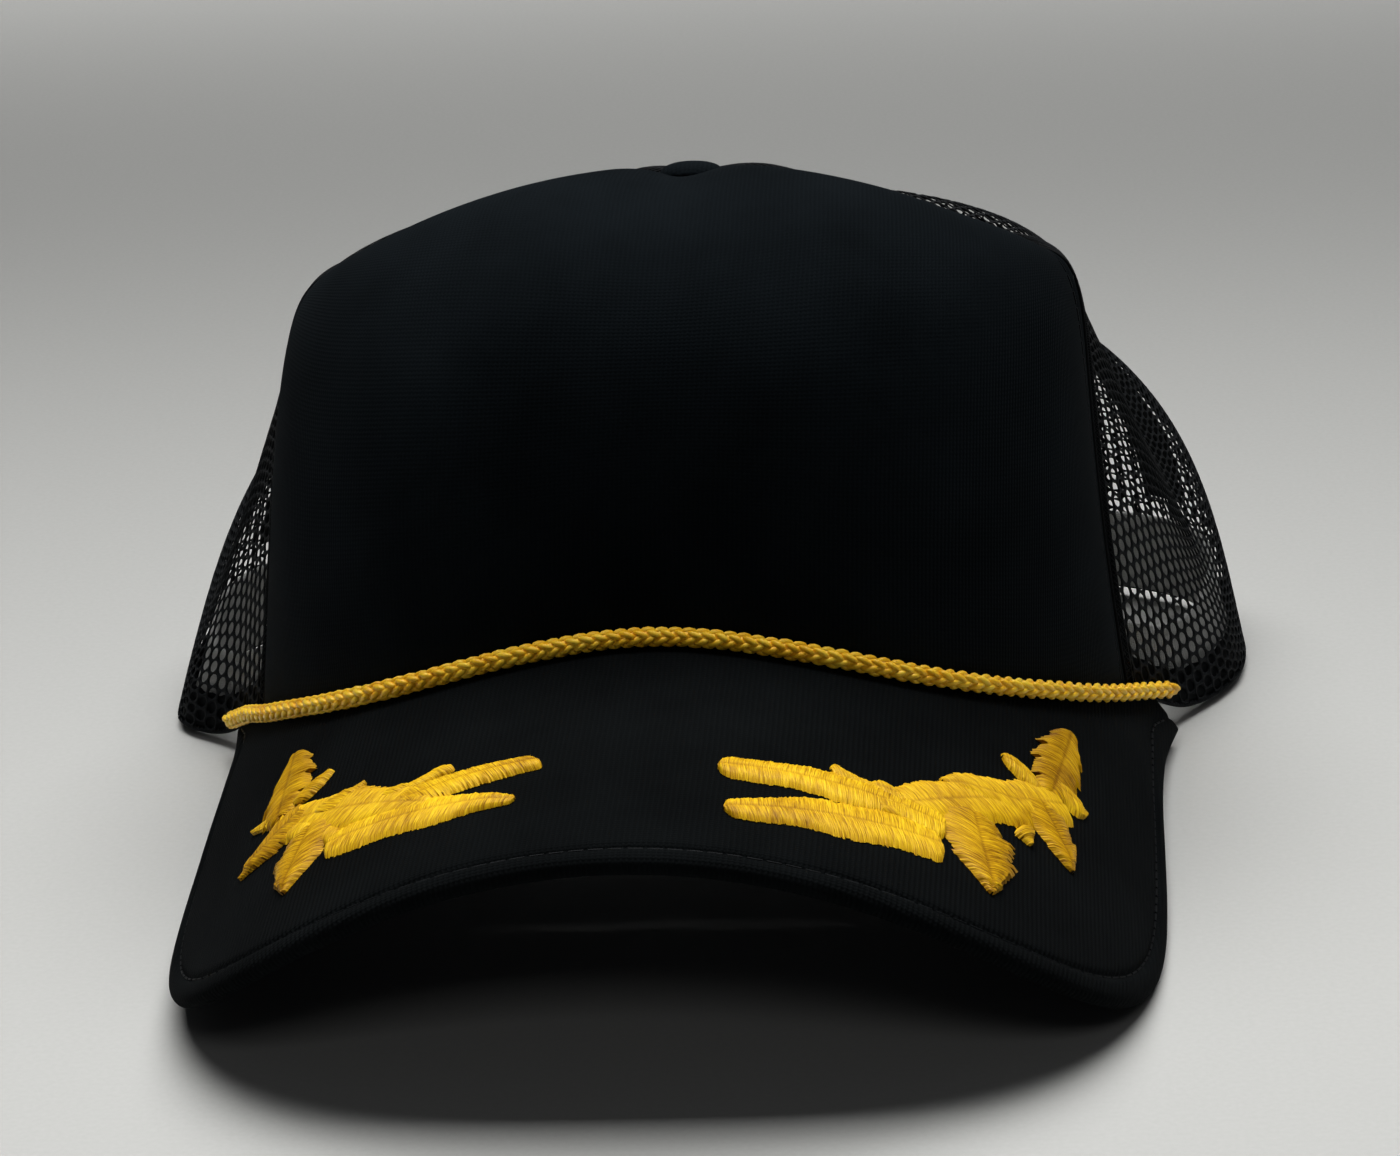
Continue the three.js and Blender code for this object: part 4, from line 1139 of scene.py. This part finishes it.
def embroidery(name, strokes, node):
    bm = bmesh.new()
    layer = bm.loops.layers.uv.new("UVMap")
    for order, stroke in enumerate(strokes):
        stroke_mesh(bm, layer, stroke, order)
    bm.normal_update()
    bmesh.ops.reverse_faces(bm, faces=[f for f in bm.faces if f.normal.z < 0])
    add_piece(name, bm, gold_satin, "gold_thread", node)


embroidery("gold_spray_left", STROKES_LEFT, "embroidery_left")
embroidery("gold_spray_right", STROKES_RIGHT, "embroidery_right")


# Button: cloth over a domed disc

def button():
    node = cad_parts["top_button"]
    bm = bmesh.new()
    bm.from_mesh(node.data)
    bmesh.ops.remove_doubles(bm, verts=bm.verts, dist=0.00001)
    bmesh.ops.recalc_face_normals(bm, faces=bm.faces)
    layer = bm.loops.layers.uv.new("UVMap")
    for face in bm.faces:
        for loop in face.loops:
            loop[layer].uv = (loop.vert.co.x / MM, loop.vert.co.y / MM)
    piece = add_piece("button_cloth", bm, front_cloth, "foam_cloth", "top_button")
    rounding = piece.modifiers.new("rounding", "SUBSURF")
    rounding.levels = rounding.render_levels = 2


button()


# Snap straps: the CAD's own solids in moulded plastic

for name in ("strap_with_holes", "strap_with_pegs"):
    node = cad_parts[name]
    node.data.materials.clear()
    node.data.materials.append(snap_plastic)


# Floor: one wide pale sheet

FLOOR_HALF_SIZE = 6.0


def pale_floor():
    bm = bmesh.new()
    bmesh.ops.create_grid(bm, x_segments=2, y_segments=2, size=FLOOR_HALF_SIZE)
    mesh = bpy.data.meshes.new("floor")
    bm.to_mesh(mesh)
    bm.free()
    floor = bpy.data.objects.new("floor", mesh)
    bpy.context.scene.collection.objects.link(floor)
    material, tree, shader = new_finish("pale paper")
    coordinates = tree.nodes.new("ShaderNodeTexCoord").outputs["Object"]
    grain = noise_node(tree, coordinates, 900.0, 3.0)
    colour = ramp_node(tree, grain, [(0.3, (0.4, 0.4, 0.385)), (0.7, (0.42, 0.42, 0.405))])
    tree.links.new(colour, shader.inputs["Base Color"])
    shader.inputs["Roughness"].default_value = 0.85
    mesh.materials.append(material)


pale_floor()


# Light: one wide lamp overhead, one over the floor far behind and a weak one in front

def soft_light(name, place, aim, size, watts, spread=180.0):
    data = bpy.data.lights.new(name, "AREA")
    data.shape = "RECTANGLE"
    data.size, data.size_y = size
    data.energy = watts
    data.spread = math.radians(spread)
    lamp = bpy.data.objects.new(name, data)
    bpy.context.scene.collection.objects.link(lamp)
    lamp.location = place
    lamp.rotation_mode = "QUATERNION"
    lamp.rotation_quaternion = (Vector(aim) - Vector(place)).to_track_quat("-Z", "Y")


soft_light("overhead", (0.0, 0.24, 1.1), (0, -0.4, 0), (1.3, 0.7), 10.5, 100.0)
soft_light("far floor", (0.0, 0.95, 0.5), (0, 0.9, 0), (1.8, 0.35), 3.8, 100.0)
soft_light("front", (0.35, -1.7, 1.5), (0, 0, 0.05), (0.9, 0.5), 2.6)
world = bpy.data.worlds.new("room")
world.use_nodes = True
world.node_tree.nodes["Background"].inputs["Color"].default_value = (0.9, 0.93, 1.0, 1)
world.node_tree.nodes["Background"].inputs["Strength"].default_value = 0.03
bpy.context.scene.world = world
bpy.context.scene.view_settings.view_transform = "Standard"


# Camera: 121 mm lens at 18 degrees above the horizon, a little to the wearer's left and tilted

PICTURE_WIDTH, PICTURE_MIDDLE = 1400, (700.0, 578.0)
# A point in the crown's coordinates, and the pixel of the picture at which it shows
CAMERA_TARGET, TARGET_PIXEL = (0, -20, 60), (680.0, 471.2)
CAMERA_DISTANCE = 0.9
CAMERA_ELEVATION, CAMERA_YAW, CAMERA_ROLL = (math.radians(a) for a in (18.06, 5.24, 3.26))
FOCAL_PIXELS, SENSOR_WIDTH = 4711.7, 36.0


def photo_camera():
    target = Vector((np.array(CAMERA_TARGET) + SHIFT) * MM)
    reach, rise = math.cos(CAMERA_ELEVATION), math.sin(CAMERA_ELEVATION)
    back = Vector((math.sin(CAMERA_YAW) * reach, -math.cos(CAMERA_YAW) * reach, rise))
    level = Vector((math.cos(CAMERA_YAW), math.sin(CAMERA_YAW), 0))
    upward = back.cross(level)
    right = level * math.cos(CAMERA_ROLL) - upward * math.sin(CAMERA_ROLL)
    up = level * math.sin(CAMERA_ROLL) + upward * math.cos(CAMERA_ROLL)
    off_right, off_down = (m - p for m, p in zip(PICTURE_MIDDLE, TARGET_PIXEL))
    aim = -back * FOCAL_PIXELS + right * off_right - up * off_down
    away = -aim.normalized()
    right = (right - away * right.dot(away)).normalized()
    up = away.cross(right)
    data = bpy.data.cameras.new("camera")
    data.sensor_width, data.lens = SENSOR_WIDTH, FOCAL_PIXELS / PICTURE_WIDTH * SENSOR_WIDTH
    data.dof.use_dof = False
    camera = bpy.data.objects.new("camera", data)
    bpy.context.scene.collection.objects.link(camera)
    turned = Matrix((right, up, away)).transposed().to_4x4()
    camera.matrix_world = Matrix.Translation(target + back * CAMERA_DISTANCE) @ turned
    bpy.context.scene.camera = camera


photo_camera()
